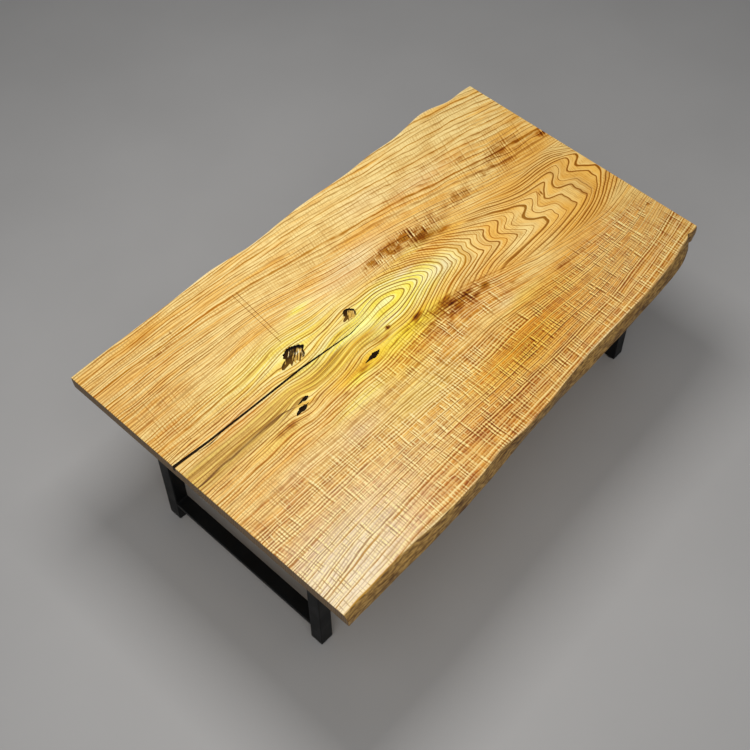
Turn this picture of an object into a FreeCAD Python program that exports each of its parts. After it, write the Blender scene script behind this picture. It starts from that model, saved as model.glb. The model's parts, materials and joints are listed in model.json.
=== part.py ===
import FreeCAD
import Part
import math
import os
from collections import namedtuple

# Live edge dining table: one thick wood slab on two welded steel leg frames.
# Millimetres. +X runs along the slab from its wide butt end to its narrow crown end, +Y is the left
# side seen from the butt end and +Z is up. The origin is on the floor under the middle of the slab.

# Overall sizes
TABLE_LENGTH = 1800.0
TABLE_WIDTH = 1170.0
TABLE_HEIGHT = 710.0
SLAB_THICKNESS = 45.0

# Live edges: a share of the length, then of the half width at the top face and at the underside
LEFT_EDGE_SHARES = (
    (0.000, 1.000, 0.985),
    (0.100, 0.998, 0.983),
    (0.200, 0.995, 0.980),
    (0.355, 0.989, 0.973),
    (0.420, 0.967, 0.957),
    (0.480, 0.970, 0.955),
    (0.600, 0.967, 0.953),
    (0.645, 0.956, 0.945),
    (0.720, 0.962, 0.945),
    (0.790, 0.950, 0.938),
    (0.850, 0.965, 0.946),
    (0.895, 0.958, 0.940),
    (0.940, 0.921, 0.910),
    (0.970, 0.918, 0.904),
    (1.000, 0.908, 0.897),
)
RIGHT_EDGE_SHARES = (
    (0.000, 0.973, 1.000),
    (0.195, 0.955, 0.994),
    (0.333, 0.944, 0.975),
    (0.390, 0.925, 0.957),
    (0.425, 0.930, 0.946),
    (0.550, 0.904, 0.923),
    (0.610, 0.884, 0.917),
    (0.710, 0.870, 0.907),
    (0.790, 0.861, 0.894),
    (0.890, 0.837, 0.874),
    (0.940, 0.805, 0.843),
    (0.975, 0.789, 0.802),
    (1.000, 0.779, 0.778),
)

# Long drying crack, filled with resin: a share of the length, of the half width and of the crack's width
CRACK_WIDTH = 8.0
CRACK_DEPTH_SHARE = 0.45
CRACK_SHARES = (
    (0.000, 0.201, 1.00),
    (0.072, 0.184, 0.70),
    (0.167, 0.172, 0.60),
    (0.278, 0.162, 0.65),
    (0.356, 0.139, 0.50),
    (0.389, 0.129, 0.40),
    (0.428, 0.142, 0.20),
    (0.441, 0.150, 0.00),
)

# Knot holes, filled with resin: shares of the length and half width at the middle, then of the
# length and width that the hole takes up. The rim is the hole's ragged outline about that middle.
KNOT_DEPTH_SHARE = 0.35
KNOT_SHARES = (
    (0.285, 0.254, 0.066, 0.052),
    (0.416, 0.226, 0.030, 0.032),
    (0.379, -0.058, 0.030, 0.016),
    (0.236, 0.014, 0.015, 0.007),
    (0.222, -0.021, 0.018, 0.012),
)
KNOT_RIM_SHARES = (
    (-0.50, -0.38),
    (-0.16, -0.44),
    (0.22, -0.50),
    (0.40, -0.12),
    (0.50, 0.10),
    (0.30, 0.38),
    (0.00, 0.50),
    (-0.20, 0.24),
    (-0.42, 0.02),
)

# Leg frames of square and flat steel tube under a flat mounting plate
LEG_INSET = 100.0
FRAME_WIDTH = 730.0
FRAME_OFFSET = 15.0
POST_SIZE = 50.0
POST_WALL = 2.3
POST_INNER_CORNER = 1.5
RAIL_HEIGHT = 20.0
RAIL_WALL = 2.0
RAIL_INNER_CORNER = 1.0
RAIL_SETBACK = 1.0
RAIL_CLEARANCE = 90.0
PLATE_WIDTH = 110.0
PLATE_THICKNESS = 8.0
PLATE_CORNER = 6.0
BEAD_LEG = 5.0

# Bolts that hold each mounting plate to inserts in the slab
PLATE_BOLT_DIAMETER = 8.0
PLATE_BOLT_HEAD = 14.0
PLATE_BOLT_HEAD_HEIGHT = 4.4
PLATE_BOLT_SOCKET = 5.0
PLATE_BOLT_GRIP = 15.0
PLATE_WASHER_DIAMETER = 18.0
PLATE_WASHER_THICKNESS = 1.6
PLATE_INSERT_DIAMETER = 12.0
PLATE_INSERT_LENGTH = 20.0
PLATE_SLOT_LENGTH = 22.0
PLATE_HOLE_SHARES = (-0.70, 0.0, 0.70)

# Steel channels let into the underside across the grain, which keep the slab flat
CHANNEL_WIDTH = 40.0
CHANNEL_HEIGHT = 16.0
CHANNEL_WALL = 4.0
CHANNEL_GAP = 0.5
CHANNEL_STATION_SHARES = (0.30, 0.70)
CHANNEL_REACH_SHARES = (0.78, 0.70)
CHANNEL_BOLT_DIAMETER = 6.0
CHANNEL_BOLT_HEAD = 10.5
CHANNEL_BOLT_HEAD_HEIGHT = 3.3
CHANNEL_BOLT_SOCKET = 4.0
CHANNEL_BOLT_GRIP = 9.0
CHANNEL_WASHER_DIAMETER = 14.0
CHANNEL_WASHER_THICKNESS = 1.2
CHANNEL_INSERT_DIAMETER = 9.0
CHANNEL_INSERT_LENGTH = 12.0
CHANNEL_SLOT_LENGTH = 16.0
CHANNEL_HOLE_SHARES = (-0.80, -0.40, 0.0, 0.40, 0.80)

# Play around the fixings
THREAD_GAP = 0.1
SLOT_PLAY = 0.5
INSERT_GAP = 0.1
SOCKET_DEPTH_SHARE = 0.6
HEAD_ROUND_SHARE = 0.45

# Levelling feet: a threaded plug in each post, a stud with a hexagon collar and a swivelling pad
PLUG_FLANGE = 3.0
PLUG_DEPTH = 24.0
PLUG_GAP = 0.15
STUD_DIAMETER = 10.0
STUD_LENGTH = 34.0
STUD_GAP = 0.05
COLLAR_ACROSS = 19.0
COLLAR_HEIGHT = 4.0
NECK_DIAMETER = 14.0
DISC_DIAMETER = 26.0
DISC_HEIGHT = 2.0
PAD_DIAMETER = 44.0
PAD_FLOOR = 2.0
PAD_LIP = 1.2
PAD_EDGE = 1.0
PAD_PLAY = 0.3

# Cuts run this far past the faces that they open
OVERRUN = 2.0

half_length = TABLE_LENGTH / 2
half_width = TABLE_WIDTH / 2
slab_bottom = TABLE_HEIGHT - SLAB_THICKNESS
groove_top = slab_bottom + CHANNEL_HEIGHT
plate_bottom = slab_bottom - PLATE_THICKNESS
pad_height = PAD_FLOOR + DISC_HEIGHT + PAD_PLAY + PAD_LIP
collar_bottom = pad_height + PAD_PLAY
foot_height = collar_bottom + COLLAR_HEIGHT
post_bottom = foot_height + PLUG_FLANGE
post_middle = half_length - LEG_INSET - POST_SIZE / 2
post_spread = (FRAME_WIDTH - POST_SIZE) / 2
bolt_line = (POST_SIZE + PLATE_WIDTH) / 4

ENDS = {"butt": -1, "crown": 1}
SIDES = {"left": 1, "right": -1}

Fixing = namedtuple("Fixing", "bolt head head_height socket grip washer washer_thickness insert insert_length")
PLATE_FIXING = Fixing(
    PLATE_BOLT_DIAMETER, PLATE_BOLT_HEAD, PLATE_BOLT_HEAD_HEIGHT, PLATE_BOLT_SOCKET, PLATE_BOLT_GRIP,
    PLATE_WASHER_DIAMETER, PLATE_WASHER_THICKNESS, PLATE_INSERT_DIAMETER, PLATE_INSERT_LENGTH,
)
CHANNEL_FIXING = Fixing(
    CHANNEL_BOLT_DIAMETER, CHANNEL_BOLT_HEAD, CHANNEL_BOLT_HEAD_HEIGHT, CHANNEL_BOLT_SOCKET, CHANNEL_BOLT_GRIP,
    CHANNEL_WASHER_DIAMETER, CHANNEL_WASHER_THICKNESS, CHANNEL_INSERT_DIAMETER, CHANNEL_INSERT_LENGTH,
)


def point(x, y, z):
    return FreeCAD.Vector(x, y, z)


def rod(diameter, height, x, y, z):
    """Upright cylinder that stands on z."""
    return Part.makeCylinder(diameter / 2, height, point(x, y, z))


def block(size_x, size_y, size_z, x, y, z):
    """Box centred on x and y that stands on z."""
    return Part.makeBox(size_x, size_y, size_z, point(x - size_x / 2, y - size_y / 2, z))


def rounded(solid, direction, radius):
    """Round the straight edges of a box that run along one direction."""
    edges = [edge for edge in solid.Edges if abs(edge.tangentAt(edge.FirstParameter).dot(direction)) > 1 / 2]
    return solid.makeFillet(radius, edges)


def prism(points, run):
    """Extrude a closed polygon along a vector."""
    return Part.Face(Part.makePolygon(points + points[:1])).extrude(run)


def hexagon(across, height, x, y, z):
    """Upright hexagonal bar that stands on z."""
    radius = across / 2 / math.cos(math.pi / 6)
    turns = [math.pi / 3 * step for step in range(6)]
    corners = [point(x + radius * math.cos(turn), y + radius * math.sin(turn), z) for turn in turns]
    return prism(corners, point(0, 0, height))


def slot(width, length, height, x, y, z):
    """Upright slot with round ends, long in Y."""
    reach = (length - width) / 2
    ends = [rod(width, height, x, y + side * reach, z) for side in (-1, 1)]
    return block(width, length - width, height, x, y, z).fuse(ends)


def place(length_share, width_share, z):
    """Point over the slab's plan, from the butt end and the middle line."""
    return point(length_share * TABLE_LENGTH - half_length, width_share * half_width, z)


def level_wire(column, z):
    """Outline of the slab at one level: two live edges joined by the straight sawn ends."""
    edges = []
    for rows, side in ((LEFT_EDGE_SHARES, 1), (RIGHT_EDGE_SHARES, -1)):
        curve = Part.BSplineCurve()
        points = [place(row[0], side * row[column], z) for row in rows]
        curve.interpolate(Points=points, Parameters=[row[0] for row in rows])
        edges.append(curve.toShape())
    left, right = edges
    crown_end = Part.makeLine(left.Vertexes[-1].Point, right.Vertexes[-1].Point)
    butt_end = Part.makeLine(right.Vertexes[0].Point, left.Vertexes[0].Point)
    return Part.Wire([left, crown_end, right, butt_end])


def slab_blank():
    return Part.makeLoft([level_wire(2, slab_bottom), level_wire(1, TABLE_HEIGHT)], True, True)


def crack_filling():
    depth = CRACK_DEPTH_SHARE * SLAB_THICKNESS
    banks = {1: [], -1: []}
    for length_share, width_share, breadth_share in CRACK_SHARES:
        middle = place(length_share, width_share, TABLE_HEIGHT - depth)
        for side, bank in banks.items():
            bank.append(middle + point(0, side * breadth_share * CRACK_WIDTH / 2, 0))
    return prism(banks[1] + banks[-1][-2::-1], point(0, 0, depth))


def knot_fillings():
    depth = KNOT_DEPTH_SHARE * SLAB_THICKNESS
    fillings = []
    for length_share, width_share, long_share, wide_share in KNOT_SHARES:
        middle = place(length_share, width_share, TABLE_HEIGHT - depth)
        size = point(long_share * TABLE_LENGTH, wide_share * TABLE_WIDTH, 0)
        rim = [middle + point(along * size.x, across * size.y, 0) for along, across in KNOT_RIM_SHARES]
        fillings.append(prism(rim, point(0, 0, depth)))
    return fillings


def post(x, y):
    height = plate_bottom - post_bottom
    outer = block(POST_SIZE, POST_SIZE, height, x, y, post_bottom)
    hollow = POST_SIZE - 2 * POST_WALL
    bore = block(hollow, hollow, height, x, y, post_bottom)
    up = point(0, 0, 1)
    return rounded(outer, up, POST_INNER_CORNER + POST_WALL).cut(rounded(bore, up, POST_INNER_CORNER))


def foot_rail(x):
    width = POST_SIZE - 2 * RAIL_SETBACK
    length = FRAME_WIDTH - 2 * POST_SIZE
    outer = block(width, length, RAIL_HEIGHT, x, FRAME_OFFSET, RAIL_CLEARANCE)
    bore_height = RAIL_HEIGHT - 2 * RAIL_WALL
    bore = block(width - 2 * RAIL_WALL, length, bore_height, x, FRAME_OFFSET, RAIL_CLEARANCE + RAIL_WALL)
    along = point(0, 1, 0)
    return rounded(outer, along, RAIL_INNER_CORNER + RAIL_WALL).cut(rounded(bore, along, RAIL_INNER_CORNER))


def plate_holes(x):
    """Middles of one mounting plate's bolts, in a row on each side of the posts."""
    reach = FRAME_WIDTH / 2
    return [(x + side * bolt_line, FRAME_OFFSET + share * reach) for side in (-1, 1) for share in PLATE_HOLE_SHARES]


def top_plate(x):
    plate = block(PLATE_WIDTH, FRAME_WIDTH, PLATE_THICKNESS, x, FRAME_OFFSET, plate_bottom)
    plate = rounded(plate, point(0, 0, 1), PLATE_CORNER)
    width = PLATE_BOLT_DIAMETER + 2 * SLOT_PLAY
    return plate.cut([slot(width, PLATE_SLOT_LENGTH, PLATE_THICKNESS, *hole, plate_bottom) for hole in plate_holes(x)])


def bead(corner, leg_a, leg_b, run):
    """Fillet weld along a corner: a triangle on its two legs, drawn along the run."""
    return prism([corner, corner + leg_a, corner + leg_b], run)


def weld_beads(x):
    """Welds around each post's head and over and under each end of the foot rail."""
    flat = POST_SIZE - 2 * (POST_INNER_CORNER + POST_WALL)
    rail_flat = POST_SIZE - 2 * (RAIL_SETBACK + RAIL_INNER_CORNER + RAIL_WALL)
    half_post = POST_SIZE / 2
    down = point(0, 0, -BEAD_LEG)
    beads = []
    for side in SIDES.values():
        y = FRAME_OFFSET + side * post_spread
        for face in (-1, 1):
            corner = point(x + face * half_post, y - flat / 2, plate_bottom)
            beads.append(bead(corner, point(face * BEAD_LEG, 0, 0), down, point(0, flat, 0)))
        inner = y - side * half_post
        inward = point(0, -side * BEAD_LEG, 0)
        beads.append(bead(point(x - flat / 2, inner, plate_bottom), inward, down, point(flat, 0, 0)))
        rail_run = point(rail_flat, 0, 0)
        rail_start = x - rail_flat / 2
        beads.append(bead(point(rail_start, inner, RAIL_CLEARANCE), inward, down, rail_run))
        beads.append(bead(point(rail_start, inner, RAIL_CLEARANCE + RAIL_HEIGHT), inward, -down, rail_run))
    return beads


def channel_reach(end):
    """Half the length of one end's channel."""
    return dict(zip(ENDS, CHANNEL_REACH_SHARES))[end] * half_width


def channel_place(end):
    """Where one end's channel lies along the slab."""
    return place(dict(zip(ENDS, CHANNEL_STATION_SHARES))[end], 0, 0).x


def channel_holes(end):
    return [(channel_place(end), FRAME_OFFSET + share * channel_reach(end)) for share in CHANNEL_HOLE_SHARES]


def channel(end):
    """Channel with its web up against the wood and its flanges flush with the underside."""
    x = channel_place(end)
    length = 2 * channel_reach(end)
    body = block(CHANNEL_WIDTH, length, CHANNEL_HEIGHT, x, FRAME_OFFSET, slab_bottom)
    inside = CHANNEL_WIDTH - 2 * CHANNEL_WALL
    trough = block(inside, length, CHANNEL_HEIGHT - CHANNEL_WALL, x, FRAME_OFFSET, slab_bottom)
    width = CHANNEL_BOLT_DIAMETER + 2 * SLOT_PLAY
    holes = [
        slot(width, CHANNEL_SLOT_LENGTH, CHANNEL_HEIGHT, *hole, slab_bottom)
        for hole in channel_holes(end)
    ]
    return body.cut([trough] + holes)


def channel_groove(end):
    width = CHANNEL_WIDTH + 2 * CHANNEL_GAP
    length = 2 * channel_reach(end) + 2 * CHANNEL_GAP
    return block(width, length, CHANNEL_HEIGHT + OVERRUN, channel_place(end), FRAME_OFFSET, slab_bottom - OVERRUN)


def bolt(fixing, hole, seat, wood):
    """Button head bolt, upward through a washer on the seat into the insert at the wood."""
    head_top = seat - fixing.washer_thickness
    head = rod(fixing.head, fixing.head_height, *hole, head_top - fixing.head_height)
    rim = [edge for edge in head.Edges if edge.BoundBox.ZMax < head_top - fixing.head_height / 2]
    head = head.makeFillet(HEAD_ROUND_SHARE * fixing.head_height, rim)
    depth = SOCKET_DEPTH_SHARE * fixing.head_height
    socket = hexagon(fixing.socket, depth, *hole, head_top - fixing.head_height)
    return head.cut(socket).fuse(rod(fixing.bolt, wood + fixing.grip - head_top, *hole, head_top))


def washer(fixing, hole, seat):
    bottom = seat - fixing.washer_thickness
    ring = rod(fixing.washer, fixing.washer_thickness, *hole, bottom)
    return ring.cut(rod(fixing.bolt + 2 * THREAD_GAP, fixing.washer_thickness, *hole, bottom))


def insert(fixing, hole, wood):
    sleeve = rod(fixing.insert, fixing.insert_length, *hole, wood)
    return sleeve.cut(rod(fixing.bolt + 2 * THREAD_GAP, fixing.insert_length, *hole, wood))


def insert_hole(fixing, hole, wood):
    depth = fixing.insert_length + INSERT_GAP
    return rod(fixing.insert + 2 * INSERT_GAP, depth + OVERRUN, *hole, wood - OVERRUN)


def post_plug(x, y):
    """Threaded plug: a flange over the end of the post and a body inside it."""
    up = point(0, 0, 1)
    flange = block(POST_SIZE, POST_SIZE, PLUG_FLANGE, x, y, foot_height)
    flange = rounded(flange, up, POST_INNER_CORNER + POST_WALL)
    width = POST_SIZE - 2 * (POST_WALL + PLUG_GAP)
    body = rounded(block(width, width, PLUG_DEPTH, x, y, post_bottom), up, POST_INNER_CORNER)
    bore = rod(STUD_DIAMETER + 2 * STUD_GAP, PLUG_FLANGE + PLUG_DEPTH, x, y, foot_height)
    return flange.fuse(body).cut(bore)


def foot_stud(x, y):
    """Stud with a hexagon collar, a neck and a disc that turns inside the pad."""
    neck = rod(NECK_DIAMETER, collar_bottom - PAD_FLOOR, x, y, PAD_FLOOR)
    disc = rod(DISC_DIAMETER, DISC_HEIGHT, x, y, PAD_FLOOR)
    shank = rod(STUD_DIAMETER, STUD_LENGTH, x, y, foot_height)
    return hexagon(COLLAR_ACROSS, COLLAR_HEIGHT, x, y, collar_bottom).fuse([neck, disc, shank])


def foot_pad(x, y):
    """Round pad whose lip holds the stud's disc."""
    pad = rod(PAD_DIAMETER, pad_height, x, y, 0)
    rim = [edge for edge in pad.Edges if edge.BoundBox.ZMin > pad_height / 2]
    cavity = rod(DISC_DIAMETER + 2 * PAD_PLAY, DISC_HEIGHT + PAD_PLAY, x, y, PAD_FLOOR)
    mouth = rod(NECK_DIAMETER + 2 * PAD_PLAY, pad_height, x, y, PAD_FLOOR)
    return pad.makeFillet(PAD_EDGE, rim).cut([cavity, mouth])


def slab_top():
    """Slab with its resin pockets, channel grooves and insert holes cut out."""
    cuts = [crack_filling()] + knot_fillings()
    for end, way in ENDS.items():
        cuts.append(channel_groove(end))
        cuts += [insert_hole(PLATE_FIXING, hole, slab_bottom) for hole in plate_holes(way * post_middle)]
        cuts += [insert_hole(CHANNEL_FIXING, hole, groove_top) for hole in channel_holes(end)]
    return slab_blank().cut(cuts)


def fixings(fixing, holes, seat, wood):
    """Bolts, washers and inserts for one kind of fixing, each as a list of solids."""
    return {
        "bolts": [bolt(fixing, hole, seat, wood) for hole in holes],
        "washers": [washer(fixing, hole, seat) for hole in holes],
        "inserts": [insert(fixing, hole, wood) for hole in holes],
    }


def table_nodes():
    """Every node's name with its solids, in place."""
    nodes = {"slab_top": [slab_top()], "crack_resin": [crack_filling()], "knot_resin": knot_fillings()}
    nodes["post_plugs"] = []
    plate_places = []
    channel_places = []
    for end, way in ENDS.items():
        x = way * post_middle
        nodes[end + "_foot_rail"] = [foot_rail(x)]
        nodes[end + "_top_plate"] = [top_plate(x)]
        nodes[end + "_weld_beads"] = weld_beads(x)
        nodes[end + "_channel"] = [channel(end)]
        plate_places += plate_holes(x)
        channel_places += channel_holes(end)
        for side, hand in SIDES.items():
            y = FRAME_OFFSET + hand * post_spread
            nodes["post_plugs"].append(post_plug(x, y))
            nodes[end + "_" + side + "_post"] = [post(x, y)]
            nodes[end + "_" + side + "_foot_stud"] = [foot_stud(x, y)]
            nodes[end + "_" + side + "_foot_pad"] = [foot_pad(x, y)]
    for name, solids in fixings(PLATE_FIXING, plate_places, plate_bottom, slab_bottom).items():
        nodes["plate_" + name] = solids
    web_underside = groove_top - CHANNEL_WALL
    for name, solids in fixings(CHANNEL_FIXING, channel_places, web_underside, groove_top).items():
        nodes["channel_" + name] = solids
    return nodes


def main():
    os.makedirs("parts", exist_ok=True)
    for name, solids in table_nodes().items():
        shape = solids[0] if len(solids) == 1 else Part.makeCompound(solids)
        shape.exportStep(os.path.join("parts", name + ".step"))


main()
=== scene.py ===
import json
import math

import bmesh
import bpy
import numpy as np
from mathutils import Matrix, Vector, noise


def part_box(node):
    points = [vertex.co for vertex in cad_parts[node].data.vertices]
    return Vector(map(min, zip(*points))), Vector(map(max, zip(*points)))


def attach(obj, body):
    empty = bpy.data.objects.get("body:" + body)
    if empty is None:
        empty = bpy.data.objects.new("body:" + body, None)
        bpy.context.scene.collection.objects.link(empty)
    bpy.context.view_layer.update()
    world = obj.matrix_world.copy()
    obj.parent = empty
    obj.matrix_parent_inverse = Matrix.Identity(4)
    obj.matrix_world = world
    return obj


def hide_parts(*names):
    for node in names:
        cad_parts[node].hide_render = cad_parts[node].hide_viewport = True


# Looks of a live edge dining table: one figured wood slab on two black steel leg frames.
# Metres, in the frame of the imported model: +X runs from the wide butt end to the narrow crown end,
# +Y is the left side seen from the butt end, +Z is up, and the origin is on the floor.

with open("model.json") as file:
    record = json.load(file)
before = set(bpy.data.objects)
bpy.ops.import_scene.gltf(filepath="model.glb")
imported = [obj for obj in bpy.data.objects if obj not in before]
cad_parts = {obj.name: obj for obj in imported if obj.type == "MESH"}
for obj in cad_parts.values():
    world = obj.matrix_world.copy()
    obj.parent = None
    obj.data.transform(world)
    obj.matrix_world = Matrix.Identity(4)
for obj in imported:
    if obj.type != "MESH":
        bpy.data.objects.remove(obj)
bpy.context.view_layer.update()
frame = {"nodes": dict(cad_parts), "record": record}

SLAB_LOW, SLAB_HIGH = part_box("slab_top")
LENGTH = SLAB_HIGH.x - SLAB_LOW.x
HALF_WIDTH = (SLAB_HIGH.y - SLAB_LOW.y) / 2
THICKNESS = SLAB_HIGH.z - SLAB_LOW.z
TOP_SKIN = THICKNESS / 100
SAME_PLACE = 1e-5
PLACE_DIGITS = 6
MERGE_DISTANCE = 1e-6

# Slab mesh
COLUMN_STEP = 0.006
CELLS_ACROSS = 190
SIDE_ROWS = 10
ARRIS = 0.0012
EDGE_SEARCH = 0.06
EDGE_SWELL = 0.003
EDGE_WAVE = 0.0030
EDGE_WAVES_PER_METRE = 7.0
EDGE_WAVES_DOWN = 0.9
EDGE_SIDE_SEED = 5.0
EDGE_FRACTAL = (1.0, 2.0, 2)
NOTCH_ALONG_SHARE = 0.973
NOTCH_DEPTH = 0.009
NOTCH_HALF_LENGTH = 0.011
OVERRUN = 0.004
FACING_COSINE = 0.6
EDGE_ZONE_SHARE = 0.7
SHARP_ANGLE = math.radians(28.0)

# Crack and knot holes
CRACK_STEP = 0.004
CRACK_JITTER = 0.0005
CRACK_WAVES_PER_METRE = 90.0
CRACK_BANK_SEED = 7.0
CRACK_SPREAD = 0.0013
CRACK_SPREAD_END_SHARE = 0.55
FILLING_RECESS = 0.0004
KNOT_POINTS = 72
KNOT_RINGS = 9
KNOT_RAGGED_SHARE = 0.16
KNOT_RAGS = 2.6
KNOT_SEED = 9.0
KNOT_FRACTAL = (0.5, 2.0, 4)
BARK_RELIEF = 0.0026
BARK_RELIEF_RISE = 4.0
BARK_RELIEF_PER_METRE = (70.0, 150.0)
BARK_FRACTAL = (0.6, 2.0, 4)
BARK_KNOT_GROWTHS = (1.0, 1.22)
BARK_FLECKS = (1.0, 0.2)
BARK_KNOTS = len(BARK_KNOT_GROWTHS)
BARK_STROKE_HEADING = math.radians(223.0)
BARK_STRANDS = 11
BARK_STRAND_SWAY = 1.4
BARK_STRAND_SWAYS = 3.0
BARK_GAP_SHARE = 0.42
BARK_HANGING_COSINES = (-0.1, 0.6)
SMALL_KNOT_GROWTHS = (1.0, 1.4, 1.5)
SMALL_KNOT_STRETCH = 1.45
SMALL_KNOT_NARROWING = 0.85
SMALL_KNOT_RAGGED_SHARE = 0.45
SMALL_KNOT_RAGS_PER_METRE = 130.0
SMALL_KNOT_HEADS = (0.55, -0.35, 0.30)
HOLE_SIDES = 32

# Grain flow: at shares of the length, where each grain line runs, as shares of the half width.
# A line's level is its own place at the butt end. The heart line is the one that the rings close on.
FLOW_STATION_SHARES = np.array((0.0, 0.167, 0.333, 0.5, 0.583, 0.667, 0.75, 0.833, 0.917, 1.0))
FLOW_SHARES = (
    (-1.009, -0.983, -0.957, -0.923, -0.906, -0.889, -0.872, -0.855, -0.821, -0.778),
    (-0.821, -0.752, -0.735, -0.735, -0.732, -0.726, -0.718, -0.684, -0.650, -0.590),
    (-0.496, -0.496, -0.496, -0.513, -0.504, -0.513, -0.530, -0.530, -0.513, -0.462),
    (-0.239, -0.231, -0.231, -0.214, -0.222, -0.282, -0.333, -0.368, -0.385, -0.350),
    (-0.085, -0.068, -0.051, -0.038, -0.051, -0.128, -0.214, -0.274, -0.291, -0.256),
    (0.103, 0.103, 0.111, 0.143, 0.120, 0.031, -0.056, -0.135, -0.171, -0.092),
    (0.274, 0.274, 0.282, 0.282, 0.274, 0.214, 0.106, 0.026, -0.009, 0.043),
    (0.513, 0.521, 0.496, 0.402, 0.385, 0.325, 0.256, 0.188, 0.137, 0.128),
    (0.761, 0.752, 0.697, 0.590, 0.538, 0.487, 0.419, 0.350, 0.291, 0.256),
    (0.974, 0.971, 0.957, 0.932, 0.897, 0.855, 0.817, 0.778, 0.726, 0.667),
)
HEART_LEVEL_SHARE = 0.103

# Flame figure, at shares of the length: how many ring lines have closed on the heart line, how many
# stand beside each other in a metre, where its second ridge runs in shares of the half width, and
# where the valley between the two ridges runs and how far it draws the ring lines back in metres.
CLOSED_STATION_SHARES = np.array((
    0.0, 0.44, 0.487, 0.535, 0.583, 0.633, 0.683, 0.728, 0.778, 0.833, 0.889, 0.944, 1.0,
))
CLOSED_RINGS = (0.0, 0.0, 0.0, 2.4, 6.0, 10.6, 15.4, 18.4, 21.2, 23.7, 26.0, 28.2, 30.4)
FAN_STATION_SHARES = np.array((0.0, 0.487, 0.583, 0.683, 0.778, 1.0))
FAN_RINGS_PER_METRE = (90.0, 90.0, 88.0, 78.0, 66.0, 60.0)
RIDGE_STATION_SHARES = np.array((
    0.0, 0.53, 0.583, 0.639, 0.683, 0.722, 0.767, 0.811, 0.85, 0.878, 0.917, 0.957, 1.0,
))
RIDGE_SHARES = (0.103, 0.125, 0.133, 0.103, 0.089, 0.079, 0.065, 0.038, 0.036, 0.051, 0.082, 0.099, 0.072)
VALLEY_STATION_SHARES = np.array((0.0, 0.639, 0.706, 0.754, 0.786, 0.833, 0.850, 0.906, 0.956, 1.0))
VALLEY_SHARES = (0.09, 0.070, 0.034, 0.002, -0.022, -0.036, -0.027, 0.002, 0.017, 0.0)
VALLEY_DEPTHS = (0.0, 0.0, 0.024, 0.040, 0.046, 0.048, 0.050, 0.050, 0.044, 0.030)
VALLEY_HALF_WIDTH = 0.042
FLAME_START_SHARES = (0.39, 0.47)
FLAME_HALF_WIDTHS = (0.10, 0.16)
FLAME_ROUNDING = 0.030
FLAME_TREMBLE = 0.0020
FLAME_TREMBLE_LENGTH = 0.034
FLAME_TREMBLE_DRIFT = 3.0
FLAME_TREMBLE_START_SHARES = (0.55, 0.65)
RINGS_PER_METRE = 104.0
RING_ROUNDING = 0.010
CROWDING_SHARES = (0.1, 1.6)

# Cross grain ripple leans away from square, more towards the crown end
RIPPLE_LEAN_NEAR = 0.12
RIPPLE_LEAN_FAR = 0.42

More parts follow.
